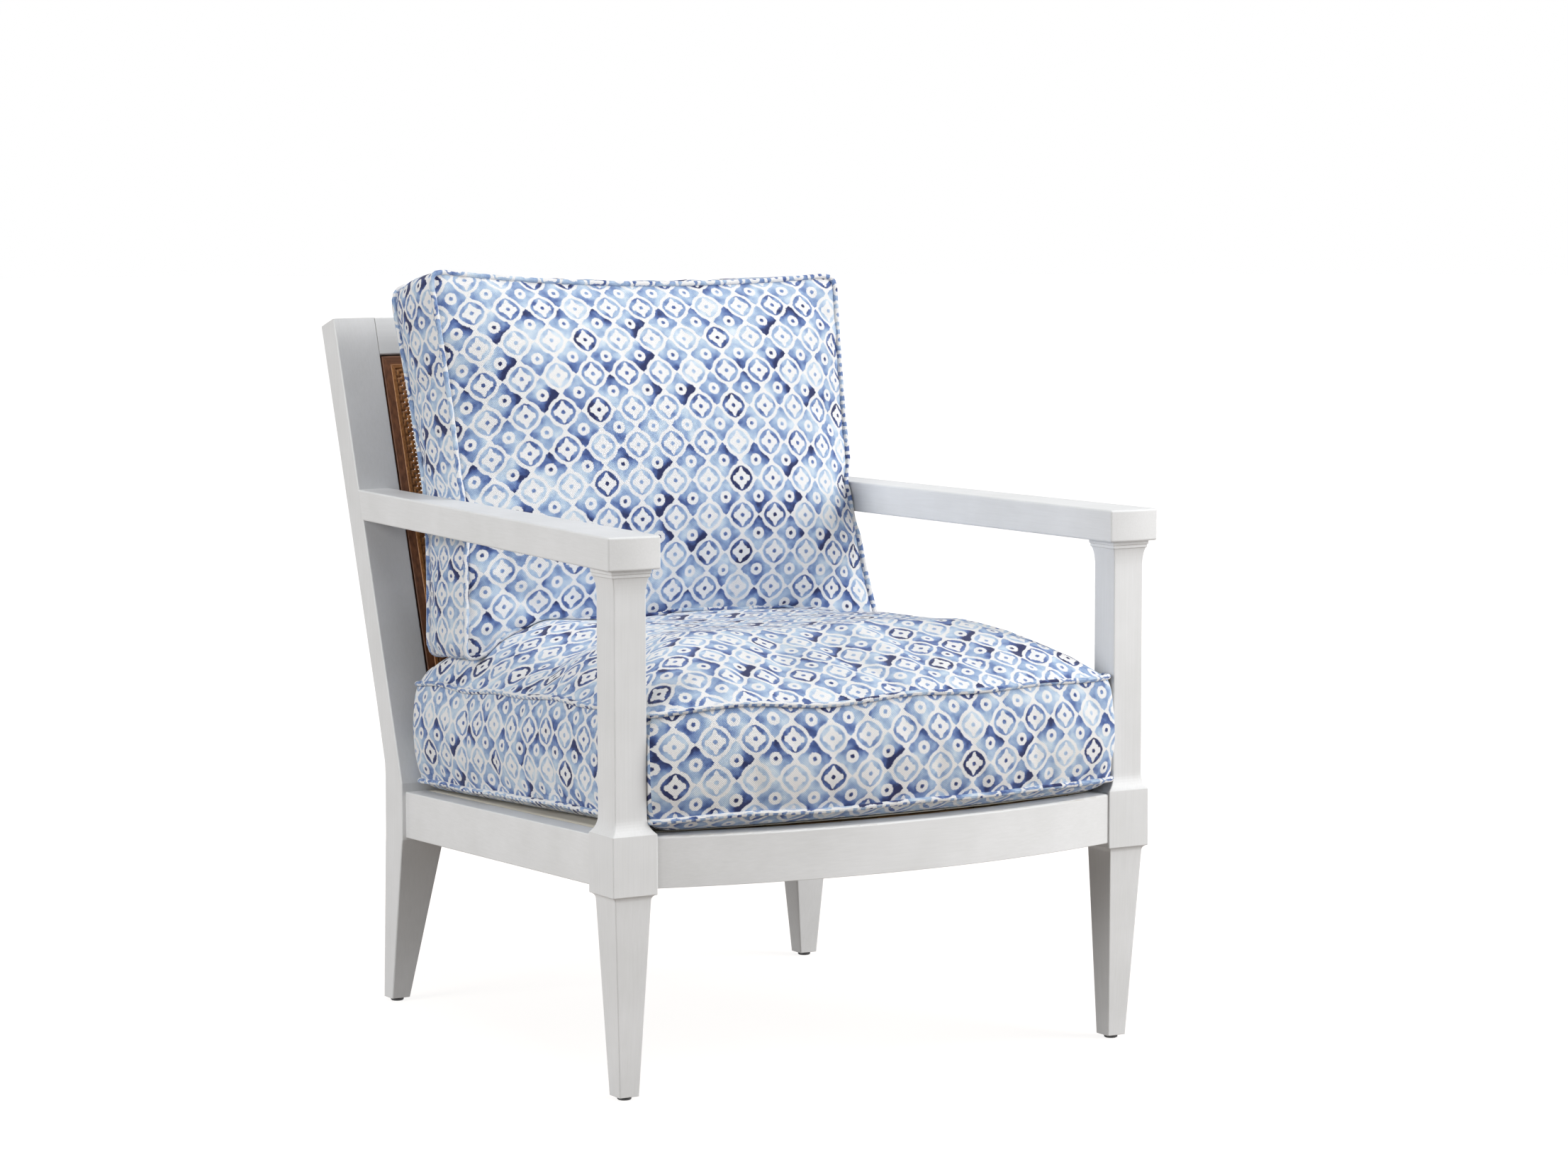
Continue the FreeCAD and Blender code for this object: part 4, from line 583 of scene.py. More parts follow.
def edgeShares(length, spacing, first):
    # shares along a line: one point close to each end, beside the seam, and even steps between
    count = max(4, round((length - 2 * first) / spacing))
    inner = np.linspace(first / length, 1 - first / length, count + 1)
    return np.concatenate([[0.0], inner, [1.0]])


def softMax(a, b, power=6):
    # joins two measures that run to 1 at an edge, so that their shared contour has round corners
    return (a ** power + b ** power - (a * b) ** power) ** (1 / power)


def pointsOf(piece):
    found = np.empty(len(piece.data.vertices) * 3)
    piece.data.vertices.foreach_get("co", found)
    return found.reshape(-1, 3)


def movePoints(piece, points):
    piece.data.vertices.foreach_set("co", points.astype(np.float32).ravel())
    piece.data.update()


def treeOf(piece):
    mesh = piece.data
    return BVHTree.FromPolygons([v.co for v in mesh.vertices], [p.vertices for p in mesh.polygons])


def waves(points, size, strength):
    # slow uneven ripples: a few crossing sine waves whose lengths do not divide each other
    x, y, z = (points / size).T
    ripple = np.sin(x * 1.0 + 2.1 * np.sin(y * 0.37 + z * 0.61)) + np.sin(y * 1.3 + 1.7 * np.sin(x * 0.53))
    ripple = ripple + np.sin(z * 1.17 + x * 0.71)
    return strength * ripple / 3


# both cushions: spacing of the mesh and its first step beside a seam, folds and piping
sewing = {
    "spacing": 0.009, "seamStep": 0.0035,
    "beltSpacing": 0.0085, "beltStep": 0.0032,
    "belly": 0.7,                                  # low powers swell the boxing close to its seams
    "foldLength": 0.0052, "foldDrift": (2.2, 0.047), "foldDepth": (0.4, 0.083),
    "foldStart": 0.006, "foldFade": 0.016,         # distances from the seam
    "grooveAt": 0.0035, "grooveWide": 0.0030,
    "valleyFade": 0.6, "valleyWide": 0.014,
    "printAcross": 0.0337, "printUp": 0.0230,      # where the print lies on the panels
}


def boxedCushion(name, lowGrid, highGrid, boxingShares, swell, outward, uvs, material):
    # closed cushion: two panels and the boxing between their seams, which swells outwards between them
    rows, columns = lowGrid.shape[:2]
    row, column = seamLoop(rows, columns)
    lowSeam, highSeam = lowGrid[row, column], highGrid[row, column]
    shares = boxingShares[1:-1, None, None]
    bellied = np.abs(np.sin(math.pi * shares)) ** sewing["belly"]
    middle = (1 - shares) * lowSeam + shares * highSeam + swell * bellied * outward[None]
    size = rows * columns
    seams = {"low": row * columns + column, "high": size + row * columns + column}
    points = np.concatenate([lowGrid.reshape(-1, 3), highGrid.reshape(-1, 3), middle.reshape(-1, 3)])
    panel = gridFaces(rows, columns, False, False)
    belt = gridFaces(len(boxingShares), len(row), False, True)
    names = np.concatenate([seams["low"], 2 * size + np.arange(middle.shape[0] * len(row)), seams["high"]])
    faces = np.concatenate([panel[:, ::-1], panel + size, names[belt]])
    wholeUv = np.concatenate([flipUvs(gridUvs(*uvs["low"])), gridUvs(*uvs["high"]), gridUvs(*uvs["belt"])])
    return makeMesh(name, points, faces, material, wholeUv), seams


def panelUv(grid, offset):
    # flat cut of a crowned panel: lengths along its rows and columns from the middle lines
    u = arcLengths(grid, 1)
    v = arcLengths(grid, 0)
    u = u - u[:, [u.shape[1] // 2]]
    v = v - v[[v.shape[0] // 2], :]
    return u + offset[0], v + offset[1]


def inflate(piece, held, values):
    # cloth over its filling: the seams are held, pressure fills the panels, and no point moves past the cap
    start = pointsOf(piece)
    group = piece.vertex_groups.new(name="held")
    group.add([int(i) for i in held], 1.0, "REPLACE")
    cloth = piece.modifiers.new("cloth", "CLOTH")
    settings = cloth.settings
    settings.quality = 6
    settings.vertex_group_mass = "held"
    settings.use_pressure = True
    settings.uniform_pressure_force = values["pressure"]
    settings.shrink_min = -values["slack"]
    settings.bending_stiffness = values["bending"]
    settings.effector_weights.gravity = 0.0
    cloth.collision_settings.use_collision = False
    for step in range(1, 21):
        scene.frame_set(step)
    posed = piece.evaluated_get(bpy.context.evaluated_depsgraph_get())
    settled = pointsOf(posed)
    piece.modifiers.remove(cloth)
    piece.vertex_groups.remove(group)
    scene.frame_set(1)
    moved = settled - start
    length = np.linalg.norm(moved, axis=1, keepdims=True)
    moved *= np.minimum(1.0, values["cap"] / np.maximum(length, 1e-9))
    movePoints(piece, start + moved)
    print("  cloth:", piece.name, "moved up to", round(float(length.max()), 4))


def gatherSeams(piece, near, runs, around, boxing, depth, lowGathered, values):
    # folds that run square to a seam, uneven in length and depth, and fade within a few centimetres of it, and the
    # groove beside the cord where the stitching draws the cloth in. near and runs hold the panels' distances from
    # their side and end seams, and their places along the end and side seams.
    nearest = np.minimum(*near)
    run = np.where(near[1] < near[0], runs[0], runs[1] + 1.3)
    belt = np.broadcast_to(around[:-1], (len(boxing) - 2, len(around) - 1))
    toSeam = np.minimum(boxing, 1 - boxing)[1:-1, None] * depth + 0 * belt
    low = nearest if lowGathered else np.ones_like(nearest)
    along = np.concatenate([run.ravel(), run.ravel(), belt.ravel()])
    distance = np.concatenate([low.ravel(), nearest.ravel(), toSeam.ravel()])
    normals = np.empty(len(along) * 3)
    piece.data.vertex_normals.foreach_get("vector", normals)
    drift, driftLength = sewing["foldDrift"]
    change, changeLength = sewing["foldDepth"]
    fold = np.sin(along / sewing["foldLength"] + drift * np.sin(along / driftLength))
    fold = fold * (1 - change + change * np.sin(along / changeLength + 1.0))
    fade = np.clip(distance / sewing["foldStart"], 0, 1) * np.exp(-distance / sewing["foldFade"])
    drawn = values["groove"] * np.exp(-((distance - sewing["grooveAt"]) / sewing["grooveWide"]) ** 2)
    depths = values["gather"] * fold * fade + drawn
    movePoints(piece, pointsOf(piece) - depths[:, None] * normals.reshape(-1, 3))


def pressFolds(piece, first, last, folds, inward):
    # soft valleys across a face seen from the front: start, end and depth, which fades along the fold and beside it
    found = pointsOf(piece)
    seen = found[first:last][:, [0, 2]]
    for start, end, depth in folds:
        along = np.subtract(end, start)
        share = np.clip((seen - start) @ along / (along @ along), 0, 1)
        away = np.linalg.norm(seen - start - share[:, None] * along, axis=1)
        valley = (1 - share) ** sewing["valleyFade"] * np.exp(-(away / sewing["valleyWide"]) ** 2)
        found[first:last] += (depth * valley)[:, None] * inward
    movePoints(piece, found)


# cord piping: the linen cut on the bias and sewn round a cord
pipingValues = {"radius": 0.0033, "sides": 12, "proud": 0.0015, "uneven": (0.004, 0.03)}


def pipingMesh(name, seams, values):
    # one closed tube along each seam: rings of points round the seam's own outward direction
    parts, allUvs, sides = [], [], values["sides"]
    for path, outward in seams:
        tangent = np.roll(path, -1, axis=0) - np.roll(path, 1, axis=0)
        tangent /= np.linalg.norm(tangent, axis=1, keepdims=True)
        side = outward - (outward * tangent).sum(axis=1, keepdims=True) * tangent
        side /= np.linalg.norm(side, axis=1, keepdims=True)
        across = np.cross(tangent, side)
        angle = np.linspace(0, 2 * math.pi, sides, endpoint=False)
        centre = path + side * values["proud"]
        radius = values["radius"] * (1 + waves(path, *values["uneven"]))[:, None, None]
        ring = np.cos(angle)[None, :, None] * side[:, None] + np.sin(angle)[None, :, None] * across[:, None]
        points = centre[:, None] + radius * ring
        parts.append((points.reshape(-1, 3), gridFaces(len(path), sides, True, True)))
        along = loopLengths(path)[:, None]
        around = (np.arange(sides + 1) * 2 * math.pi / sides * values["radius"])[None]
        # the bias cut turns the print by 45 degrees
        allUvs.append(gridUvs((along + around) / math.sqrt(2), (along - around) / math.sqrt(2)))
    return makeMesh(name, *joinParts(parts), linen, np.concatenate(allUvs))


def outwardOf(path, middle, axis):
    # direction away from the middle of a seam and square to the given axis
    away = path - middle
    away -= (away @ axis)[:, None] * axis
    tangent = np.roll(path, -1, axis=0) - np.roll(path, 1, axis=0)
    square = np.cross(tangent, axis)
    square /= np.linalg.norm(square, axis=1, keepdims=True)
    return square * np.sign((square * away).sum(axis=1, keepdims=True))


# seat cushion, in deck coordinates: x, y along the deck, height above it
deck = {"hinge": (-0.3543, 0.3048), "slope": 2.967}
seatValues = {
    "frontHalf": 0.3168, "rearHalf": 0.2965, "front": -0.4123, "rear": 0.2297, "frontBow": 0.044,
    "sideBow": 0.0015, "corner": 0.012,
    "lowWelt": 0.0154, "lowFlat": 0.0004, "lowRound": 0.036, "boxing": 0.1235, "swell": 0.0075,
    "crown": 0.0525, "crownReach": 0.3158, "crownPower": 6.8,
    "sideFull": 1.7,                            # the filling stands fuller along the sides than at the front
    "pressedFrom": -0.02, "pressedOver": 0.12, "pressed": 0.42,    # under the back cushion
    "weltWave": 0.0050, "waveSize": 0.034, "lowWave": 0.4,
    "gather": 0.0014, "groove": 0.0016, "beltPrint": 1.02,
    "shaft": (-0.4140, -0.1550, 0.3205),        # the front legs' shafts press the boxing flat
}
seatCloth = {"pressure": 2.6, "slack": 0.012, "bending": 0.8, "cap": 0.022}


def onDeck(points):
    # turn deck coordinates about the hinge line at the front of the side rails
    slope = math.radians(deck["slope"])
    y, h = points[..., 1] - deck["hinge"][0], points[..., 2]
    placed = np.array(points, dtype=float)
    placed[..., 1] = deck["hinge"][0] + y * math.cos(slope) + h * math.sin(slope)
    placed[..., 2] = deck["hinge"][1] - y * math.sin(slope) + h * math.cos(slope)
    return placed


def withHeight(plan, height):
    return np.concatenate([plan, (height + 0 * plan[..., 0])[..., None]], axis=-1)


def seatSeam(values, shares):
    # plan of the cushion: bowed front, nearly straight sides and a straight back
    t = np.linspace(-1, 1, 201)
    frontHalf, rearHalf = values["frontHalf"], values["rearHalf"]
    front = np.stack([t * frontHalf, values["front"] - values["frontBow"] * (1 - t ** 2)], axis=-1)
    back = np.stack([-t * rearHalf, 0 * t + values["rear"]], axis=-1)
    reach = (t + 1) / 2
    sideX = frontHalf + (rearHalf - frontHalf) * reach + values["sideBow"] * (1 - t ** 2)
    sideY = front[-1, 1] + (back[0, 1] - front[-1, 1]) * reach
    right = np.stack([sideX, sideY], axis=-1)
    left = right[::-1] * (-1, 1)
    return roundedSides([front, right, back, left], values["corner"], *shares)


def buildSeatCushion(values):
    width, length = 2 * values["frontHalf"], values["rear"] - values["front"] + values["frontBow"]
    shares = [edgeShares(size, sewing["spacing"], sewing["seamStep"]) for size in (width, length)]
    plan = coonsGrid(seatSeam(values, shares), *shares)
    s, t = shares[0][None, :], shares[1][:, None]
    nearSide = np.minimum(s, 1 - s) * width
    nearEnd = np.minimum(t, 1 - t) * length
    sigma = 1 - np.minimum(nearSide / values["crownReach"], 1) + 0 * nearEnd
    tau = 1 - np.minimum(nearEnd / values["crownReach"], 1) + 0 * nearSide
    dome = 1 - softMax(sigma ** values["sideFull"], tau) ** values["crownPower"]
    # under the back cushion the filling is pressed outwards, so the crown is fuller at its sides there
    pressed = np.clip((plan[..., 1] - values["pressedFrom"]) / values["pressedOver"], 0, 1)
    dome = dome ** (1 - values["pressed"] * pressed)
    rest = np.maximum(0, 1 - np.minimum(nearSide, nearEnd) / values["lowRound"]) ** 2
    flat = withHeight(plan, 0.0)
    sag = waves(flat.reshape(-1, 3), values["waveSize"], values["weltWave"]).reshape(plan.shape[:2])
    lowSeam = values["lowWelt"] + values["lowWave"] * sag - values["lowFlat"]
    low = withHeight(plan, values["lowFlat"] + lowSeam * rest)
    high = withHeight(plan, values["lowWelt"] + values["boxing"] + sag + values["crown"] * dome)
    flatSeam = flat[seamLoop(*plan.shape[:2])]
    outward = outwardOf(flatSeam, flatSeam.mean(axis=0), np.array([0.0, 0.0, 1.0]))
    boxing = edgeShares(values["boxing"], sewing["beltSpacing"], sewing["beltStep"])
    around = loopLengths(flatSeam)
    around = around - around[len(shares[0]) // 2]
    heights = (boxing - 0.5)[:, None] * values["boxing"] * values["beltPrint"] + 0 * around
    uvs = {
        "low": panelUv(low, (sewing["printAcross"], 0.0)),
        "high": panelUv(high, (sewing["printAcross"], 0.0)),
        "belt": (around[None] + sewing["printAcross"] + 0 * heights, heights),
    }
    piece, seams = boxedCushion("seatCushion", low, high, boxing, values["swell"], outward, uvs, linen)
    movePoints(piece, onDeck(pointsOf(piece)))
    inflate(piece, np.concatenate([np.arange(plan[..., 0].size), seams["high"]]), seatCloth)
    near = (nearSide + 0 * nearEnd, nearEnd + 0 * nearSide)
    gatherSeams(piece, near, (plan[..., 0], plan[..., 1]), around, boxing, values["boxing"], False, values)
    found = pointsOf(piece)
    start, end, inner = values["shaft"]
    beside = (found[:, 1] > start) & (found[:, 1] < end)
    found[beside, 0] = np.clip(found[beside, 0], -inner, inner)
    movePoints(piece, found)
    turned = onDeck(outward) - onDeck(np.zeros(3))
    welts = pipingMesh("seatWelts", [(found[seams[name]], turned) for name in ("low", "high")], pipingValues)
    return piece, welts


seatCushion, seatWelts = buildSeatCushion(seatValues)
print("seat cushion: built")

# back cushion, in its own coordinates: x, height along its lean, depth behind the front seam
backValues = {
    "origin": (0.0, 0.0899, 0.4530), "lean": 12.2, "depth": 0.127, "swell": 0.0045,
    "tilt": 0.0075,                             # the filling has settled a little lower on one side
    "front": {"waist": 0.2805, "low": 0.019, "high": 0.011, "lowEnd": 0.42, "highStart": 0.50, "powers": (1.8, 1.6),
              "bottom": 0.0, "top": 0.478, "dip": 0.014, "arch": 0.038, "corner": 0.018},
    "rear": {"waist": 0.2665, "low": 0.020, "high": 0.018, "lowEnd": 0.45, "highStart": 0.45, "powers": (1.5, 1.3),
             "bottom": 0.016, "top": 0.484, "dip": 0.006, "arch": 0.030, "corner": 0.030},
    "archPower": 2.8,
    "frontCrown": 0.044, "rearCrown": 0.080, "crownReach": 0.225, "crownPower": 2.8,
    "gather": 0.0034, "groove": 0.0018, "beltPrint": 1.04, "beltAcross": 0.0187,
    "folds": (((0.272, 0.650), (0.232, 0.560), 0.0075), ((-0.268, 0.645), (-0.238, 0.575), 0.0055),
              ((0.262, 0.545), (0.215, 0.500), 0.0040)),
    "armGap": 0.0012, "armFlare": 0.0353, "armRound": 6.0,    # the arms stand wider apart at their front ends
    "seatGap": 0.0006, "seatTop": 0.56, "caneGap": 0.0016, "caneThick": 0.002,
}
backCloth = {"pressure": 4.0, "slack": 0.014, "bending": 0.8, "cap": 0.024}
rake = math.radians(17.7)
right = np.array([1.0, 0.0, 0.0])
rakeUp = np.array([0.0, math.sin(rake), math.cos(rake)])
rakeBack = np.array([0.0, math.cos(rake), -math.sin(rake)])
lean = math.radians(backValues["lean"])
leanUp = np.array([0.0, math.sin(lean), math.cos(lean)])
leanBack = np.array([0.0, math.cos(lean), -math.sin(lean)])


def backSeam(values, shares, depth):
    # front view of one seam: sides drawn in at the arms, top dipped, bottom arched over the seat cushion
    t = np.linspace(0, 1, 201)
    low = np.clip((values["lowEnd"] - t) / values["lowEnd"], 0, 1) ** values["powers"][0]
    high = np.clip((t - values["highStart"]) / (1 - values["highStart"]), 0, 1) ** values["powers"][1]
    half = values["waist"] + values["low"] * low + values["high"] * high
    tall = values["bottom"] + (values["top"] - values["bottom"]) * t
    side = np.stack([half, tall], axis=-1)
    across = 2 * t - 1
    arch = values["arch"] * (1 - np.abs(across) ** backValues["archPower"])
    bottom = np.stack([across * half[0], values["bottom"] + arch], axis=-1)
    top = np.stack([-across * half[-1], values["top"] - values["dip"] * (1 - across ** 2)], axis=-1)
    sides = roundedSides([bottom, side, top, side[::-1] * (-1, 1)], values["corner"], *shares)
    for side in sides:
        raised = np.clip(side[:, 1] / values["top"], 0, 1) ** 2
        side[:, 1] -= backValues["tilt"] * side[:, 0] / values["waist"] * raised
    origin = np.array(backValues["origin"]) + depth * leanBack
    return [origin + side[:, :1] * right + side[:, 1:] * leanUp for side in sides]


def keepClear(points, values, seatTree, extra):
    # the seat cushion below, the cane behind and the arms beside press the cushion to their own shape
    kept = points.copy()
    armLow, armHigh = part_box("arm_right")
    frontInner = armLow.x + values["armFlare"]
    reach = np.clip((kept[:, 1] - armLow.y) / (armHigh.y - armLow.y), 0, 1)
    inner = frontInner + (armLow.x - frontInner) * reach
    above = np.maximum(0, np.abs(kept[:, 2] - (armLow.z + armHigh.z) / 2) - (armHigh.z - armLow.z) / 2)
    limit = inner - values["armGap"] - extra + values["armRound"] * above ** 2
    kept[:, 0] = np.clip(kept[:, 0], -limit, limit)
    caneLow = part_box("cane_panel")[0]
    caneFront = np.array([0.0, caneLow.y, caneLow.z + values["caneThick"] * math.sin(rake)])
    behind = (kept - caneFront) @ rakeBack + values["caneGap"] + extra
    kept -= np.maximum(0, behind)[:, None] * rakeBack
    gap = values["seatGap"] + extra
    for i in np.flatnonzero(kept[:, 2] < values["seatTop"]):
        hit = seatTree.ray_cast(Vector((kept[i, 0], kept[i, 1], 0.9)), Vector((0, 0, -1)))[0]
        if hit is not None:
            kept[i, 2] = max(kept[i, 2], hit.z + gap)
    return kept


def buildBackCushion(values):
    width, height = 2 * values["front"]["waist"], values["front"]["top"]
    shares = [edgeShares(size, sewing["spacing"], sewing["seamStep"]) for size in (width, height)]
    frontFlat = coonsGrid(backSeam(values["front"], shares, 0.0), *shares)
    rearFlat = coonsGrid(backSeam(values["rear"], shares, values["depth"]), *shares)
    s, t = shares[0][None, :], shares[1][:, None]
    nearSide, nearEnd = np.minimum(s, 1 - s) * width + 0 * t, np.minimum(t, 1 - t) * height + 0 * s
    sigma = 1 - np.minimum(nearSide / values["crownReach"], 1)
    tau = 1 - np.minimum(nearEnd / values["crownReach"], 1)
    dome = (1 - softMax(sigma, tau) ** values["crownPower"])[..., None]
    high = frontFlat - values["frontCrown"] * dome * leanBack
    low = rearFlat + values["rearCrown"] * dome * leanBack
    frontSeam = frontFlat[seamLoop(*frontFlat.shape[:2])]
    outward = outwardOf(frontSeam, frontSeam.mean(axis=0), leanBack)
    boxing = edgeShares(values["depth"], sewing["beltSpacing"], sewing["beltStep"])
    around = loopLengths(frontSeam)
    depths = (boxing - 0.5)[:, None] * values["depth"] * values["beltPrint"] + 0 * around
    around = around - around[len(shares[0]) + len(shares[1]) // 2]
    uvs = {
        "low": panelUv(low, (sewing["printAcross"], sewing["printUp"])),
        "high": panelUv(high, (sewing["printAcross"], sewing["printUp"])),
        "belt": (depths + values["beltAcross"], around[None] + sewing["printUp"] + 0 * depths),
    }
    piece, seams = boxedCushion("backCushion", low, high, boxing, values["swell"], outward, uvs, linen)
    seamSet = np.concatenate([seams["low"], seams["high"]])
    inflate(piece, seamSet, backCloth)
    runs = (s * width + 0 * t, t * height + 0 * s)
    gatherSeams(piece, (nearSide, nearEnd), runs, around, boxing, values["depth"], True, values)
    pressFolds(piece, nearSide.size, 2 * nearSide.size, values["folds"], leanBack)
    seatTree = treeOf(seatCushion)
    found = keepClear(pointsOf(piece), values, seatTree, 0.0)
    found[seamSet] = keepClear(found[seamSet], values, seatTree, pipingValues["radius"] + pipingValues["proud"])
    movePoints(piece, found)
    welts = pipingMesh("backWelts", [(found[seams[name]], outward) for name in ("low", "high")], pipingValues)
    return piece, welts


backCushion, backWelts = buildBackCushion(backValues)
print("back cushion: built")


def roundedBlock(centre, axes, halves, power, rows=10, columns=16):
    # superellipsoid: cosines and sines of two angles raised to a low power, which squares the outline and keeps
    # the edges round
    polar = np.linspace(-math.pi / 2, math.pi / 2, rows)[:, None]
    turn = np.linspace(0, 2 * math.pi, columns, endpoint=False)[None]
    parts = np.cos(polar), np.sin(polar) + 0 * turn, np.cos(turn), np.sin(turn)
    flat, upright, across, along = (np.sign(part) * np.abs(part) ** power for part in parts)
    local = np.stack([flat * across, flat * along, upright], axis=-1)
    points = np.array(centre) + (local * halves) @ np.array(axes)
    return points.reshape(-1, 3), gridFaces(rows, columns, False, True)


# zips: a cotton tape with a nylon coil along its middle, a slider at one end and its pull
zipValues = {
    "tape": 0.0220, "thick": 0.0004, "sunk": 0.0002,
    "shares": (-1.0, -0.93, -0.30, -0.24, -0.12, 0.0, 0.12, 0.24, 0.30, 0.93, 1.0),   # grid lines across the tape
    "coil": 0.26, "coilHigh": 0.0012, "tooth": 0.0025, "toothDeep": 0.3,
    "slider": (0.0055, 0.0042, 0.0017), "sliderPower": 0.5, "sliderUp": 0.0006,
    "pull": (0.0100, 0.0024, 0.0006), "pullPower": 0.45, "pullBack": 0.004, "pullUp": 0.0022,
    "steps": 337,
    "seat": ((0.0, 0.32, 0.3527), 0.210), "back": ((0.0, 0.1633, 0.380), 0.200),      # middle and half length
}


def addZip(name, cushion, place, ray, slot, body, replaced):
    # the tape lies on the cushion where rays from its flat place meet the cover; coil teeth are waves along it
    values = zipValues
    tree = treeOf(cushion)
    starts = np.array(place[0]) + np.linspace(-1, 1, values["steps"])[:, None] * place[1] * right
    share = np.array(values["shares"])
    middle = len(share) // 2
    side = np.array([0.0, 1.0, 0.0]) if abs(ray[2]) > 0.5 else np.array([0.0, 0.0, 1.0])
    flat = starts[:, None] + share[:, None] * values["tape"] / 2 * side
    hits = [tree.ray_cast(Vector(start), Vector(ray))[0] or start for start in flat.reshape(-1, 3)]
    hits = np.array([tuple(hit) for hit in hits]).reshape(flat.shape)
    length = arcLengths(hits[:, middle], 0)[:, None]
    teeth = 1 - values["toothDeep"] + values["toothDeep"] * np.cos(2 * math.pi * length / values["tooth"])
    coil = np.clip(1 - np.abs(share) / values["coil"], 0, 1) ** 0.5
    lift = values["thick"] + coil[None] * values["coilHigh"] * teeth
    out = -np.array(ray)
    front = hits + lift[..., None] * out
    back = hits[:, ::-1] - values["sunk"] * out
    points = np.concatenate([front, back], axis=1)
    points[[0, -1], :len(share)] = hits[[0, -1]]
    faces = gridFaces(len(starts), 2 * len(share), False, True)
    if np.dot(np.cross(hits[1, middle] - hits[0, middle], hits[0, middle + 1] - hits[0, middle]), out) > 0:
        faces = faces[:, ::-1]
    tape = makeMesh(name + "Tape", points.reshape(-1, 3), faces, finishes["zipTape"])
    run = front[8, middle] - front[6, middle]
    run /= np.linalg.norm(run)
    axes = (run, np.cross(out, run), out)
    at = front[6, middle] + values["sliderUp"] * out
    tip = at + run * (values["pull"][0] - values["pullBack"]) + out * values["pullUp"]
    parts = [roundedBlock(at, axes, values["slider"], values["sliderPower"]),
             roundedBlock(tip, axes, values["pull"], values["pullPower"])]
    slider = makeMesh(name + "Slider", *joinParts(parts), finishes["zincSteel"])
    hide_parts(replaced)
    for piece, finish in ((tape, slot), (slider, "steel")):
        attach(piece, body)
        if body == "back_cushion":
            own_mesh(piece)


def finishCushion(cushion, welts, body, replaced):
    smooth = cushion.modifiers.new("smooth", "SUBSURF")
    smooth.levels = 1
    smooth.render_levels = 1
    for piece, stoodFor in ((cushion, replaced[0]), (welts, replaced[1])):
        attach(piece, body)
        if body == "back_cushion":   # the back cushion's pieces get meshes of their own
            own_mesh(piece)
        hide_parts(*stoodFor)


addZip("seatZip", seatCushion, zipValues["seat"], (0.0, -1.0, 0.0), "zip", "seat_cushion", "seat_cushion_zip")
addZip("backZip", backCushion, zipValues["back"], (0.0, 0.0, 1.0), "zip", "back_cushion", "back_cushion_zip")
finishCushion(seatCushion, seatWelts, "seat_cushion",
              (("seat_cushion_cover", "seat_cushion_core"), ("seat_welts",)))
finishCushion(backCushion, backWelts, "back_cushion",
              (("back_cushion_cover", "back_cushion_core"), ("back_welts",)))
print("zips: sewn in")

# seat deck: interlaced webbing, a platform cloth over it and a dust cover stapled under it.
# Keys of a cloth are y in its middle, y at its sides and half its width, from front to rear.
deckValues = {
    "strap": (0.050, 0.0014), "webTop": -0.0012, "count": 6, "steps": 73,
    "cross": (-0.3543, 0.2322, 0.3257, 0.2770),       # front and rear of the deck, half widths there
    "inset": 0.001,
    "long": 0.2835543,                                # half the width that the lengthwise straps share
    "longFront": (-0.4215, 0.0430, 0.31), "longRear": 0.2300,      # they end on the bowed front strip and the rear one
    "grid": (61, 65), "gridSteps": (0.0105, 0.0095),
    "wrinkle": 0.0072, "wrinkleDrift": (1.3, 0.051), "wrinkleFade": 0.018, "bellyReach": 0.2,
    "staple": (0.0055, 0.0006, 0.0004), "staplePower": 0.4, "staplePitch": 0.052, "stapleFirst": 0.02,
    "stapleInset": 0.978, "stapleAt": -0.0171,
}
platformValues = {
    "keys": ((-0.4250, -0.3778, 0.3095), (-0.3540, -0.3530, 0.3345), (0.2338, 0.2338, 0.2805)),
    "level": -0.0006, "thick": 0.0010, "pull": 0.0001, "hangs": 0.0,
}
dustValues = {
    "keys": ((-0.4222, -0.3926, 0.2451), (-0.2943, -0.2943, 0.3261), (0.1719, 0.1719, 0.2825),
             (0.2292, 0.2292, 0.1930)),
    "level": -0.0164, "thick": 0.0006, "pull": 0.0003, "hangs": 0.004,
}


def addCloth(name, values, finish, node):
    # cloth held at its edge: it draws in between staples and wrinkles towards them, and hangs by its own weight
    rows, columns = deckValues["grid"]
    keys = np.array(values["keys"])
    share = np.linspace(0, len(keys) - 1, rows)
    middle, ends, half = (np.interp(share, np.arange(len(keys)), keys[:, k])[:, None] for k in range(3))
    s = np.linspace(-1, 1, columns)[None]
    plan = np.stack([s * half, ends + (middle - ends) * (1 - s ** 2)], axis=-1)
    steps = [np.minimum(np.arange(count), count - 1 - np.arange(count)) for count in (rows, columns)]
    stepUp, stepAcross = deckValues["gridSteps"]
    edge = np.minimum(steps[0][:, None] * stepUp, steps[1][None] * stepAcross)
    along = plan.sum(axis=-1)
    drift, driftLength = deckValues["wrinkleDrift"]
    ripple = values["pull"] * np.sin(along / deckValues["wrinkle"] + drift * np.sin(along / driftLength))
    belly = values["hangs"] * np.clip(edge / deckValues["bellyReach"], 0, 1) ** 0.7
    height = values["level"] + ripple * np.exp(-edge / deckValues["wrinkleFade"]) - belly
    faces = gridFaces(rows, columns, False, False)
    points = onDeck(withHeight(plan, height).reshape(-1, 3))
    cloth = makeMesh(name, points, faces, finish, gridUvs(plan[..., 0], plan[..., 1]))
    solid = cloth.modifiers.new("thickness", "SOLIDIFY")
    solid.thickness = values["thick"]
    solid.offset = 0.0
    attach(cloth, "frame")
    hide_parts(node)
    return plan


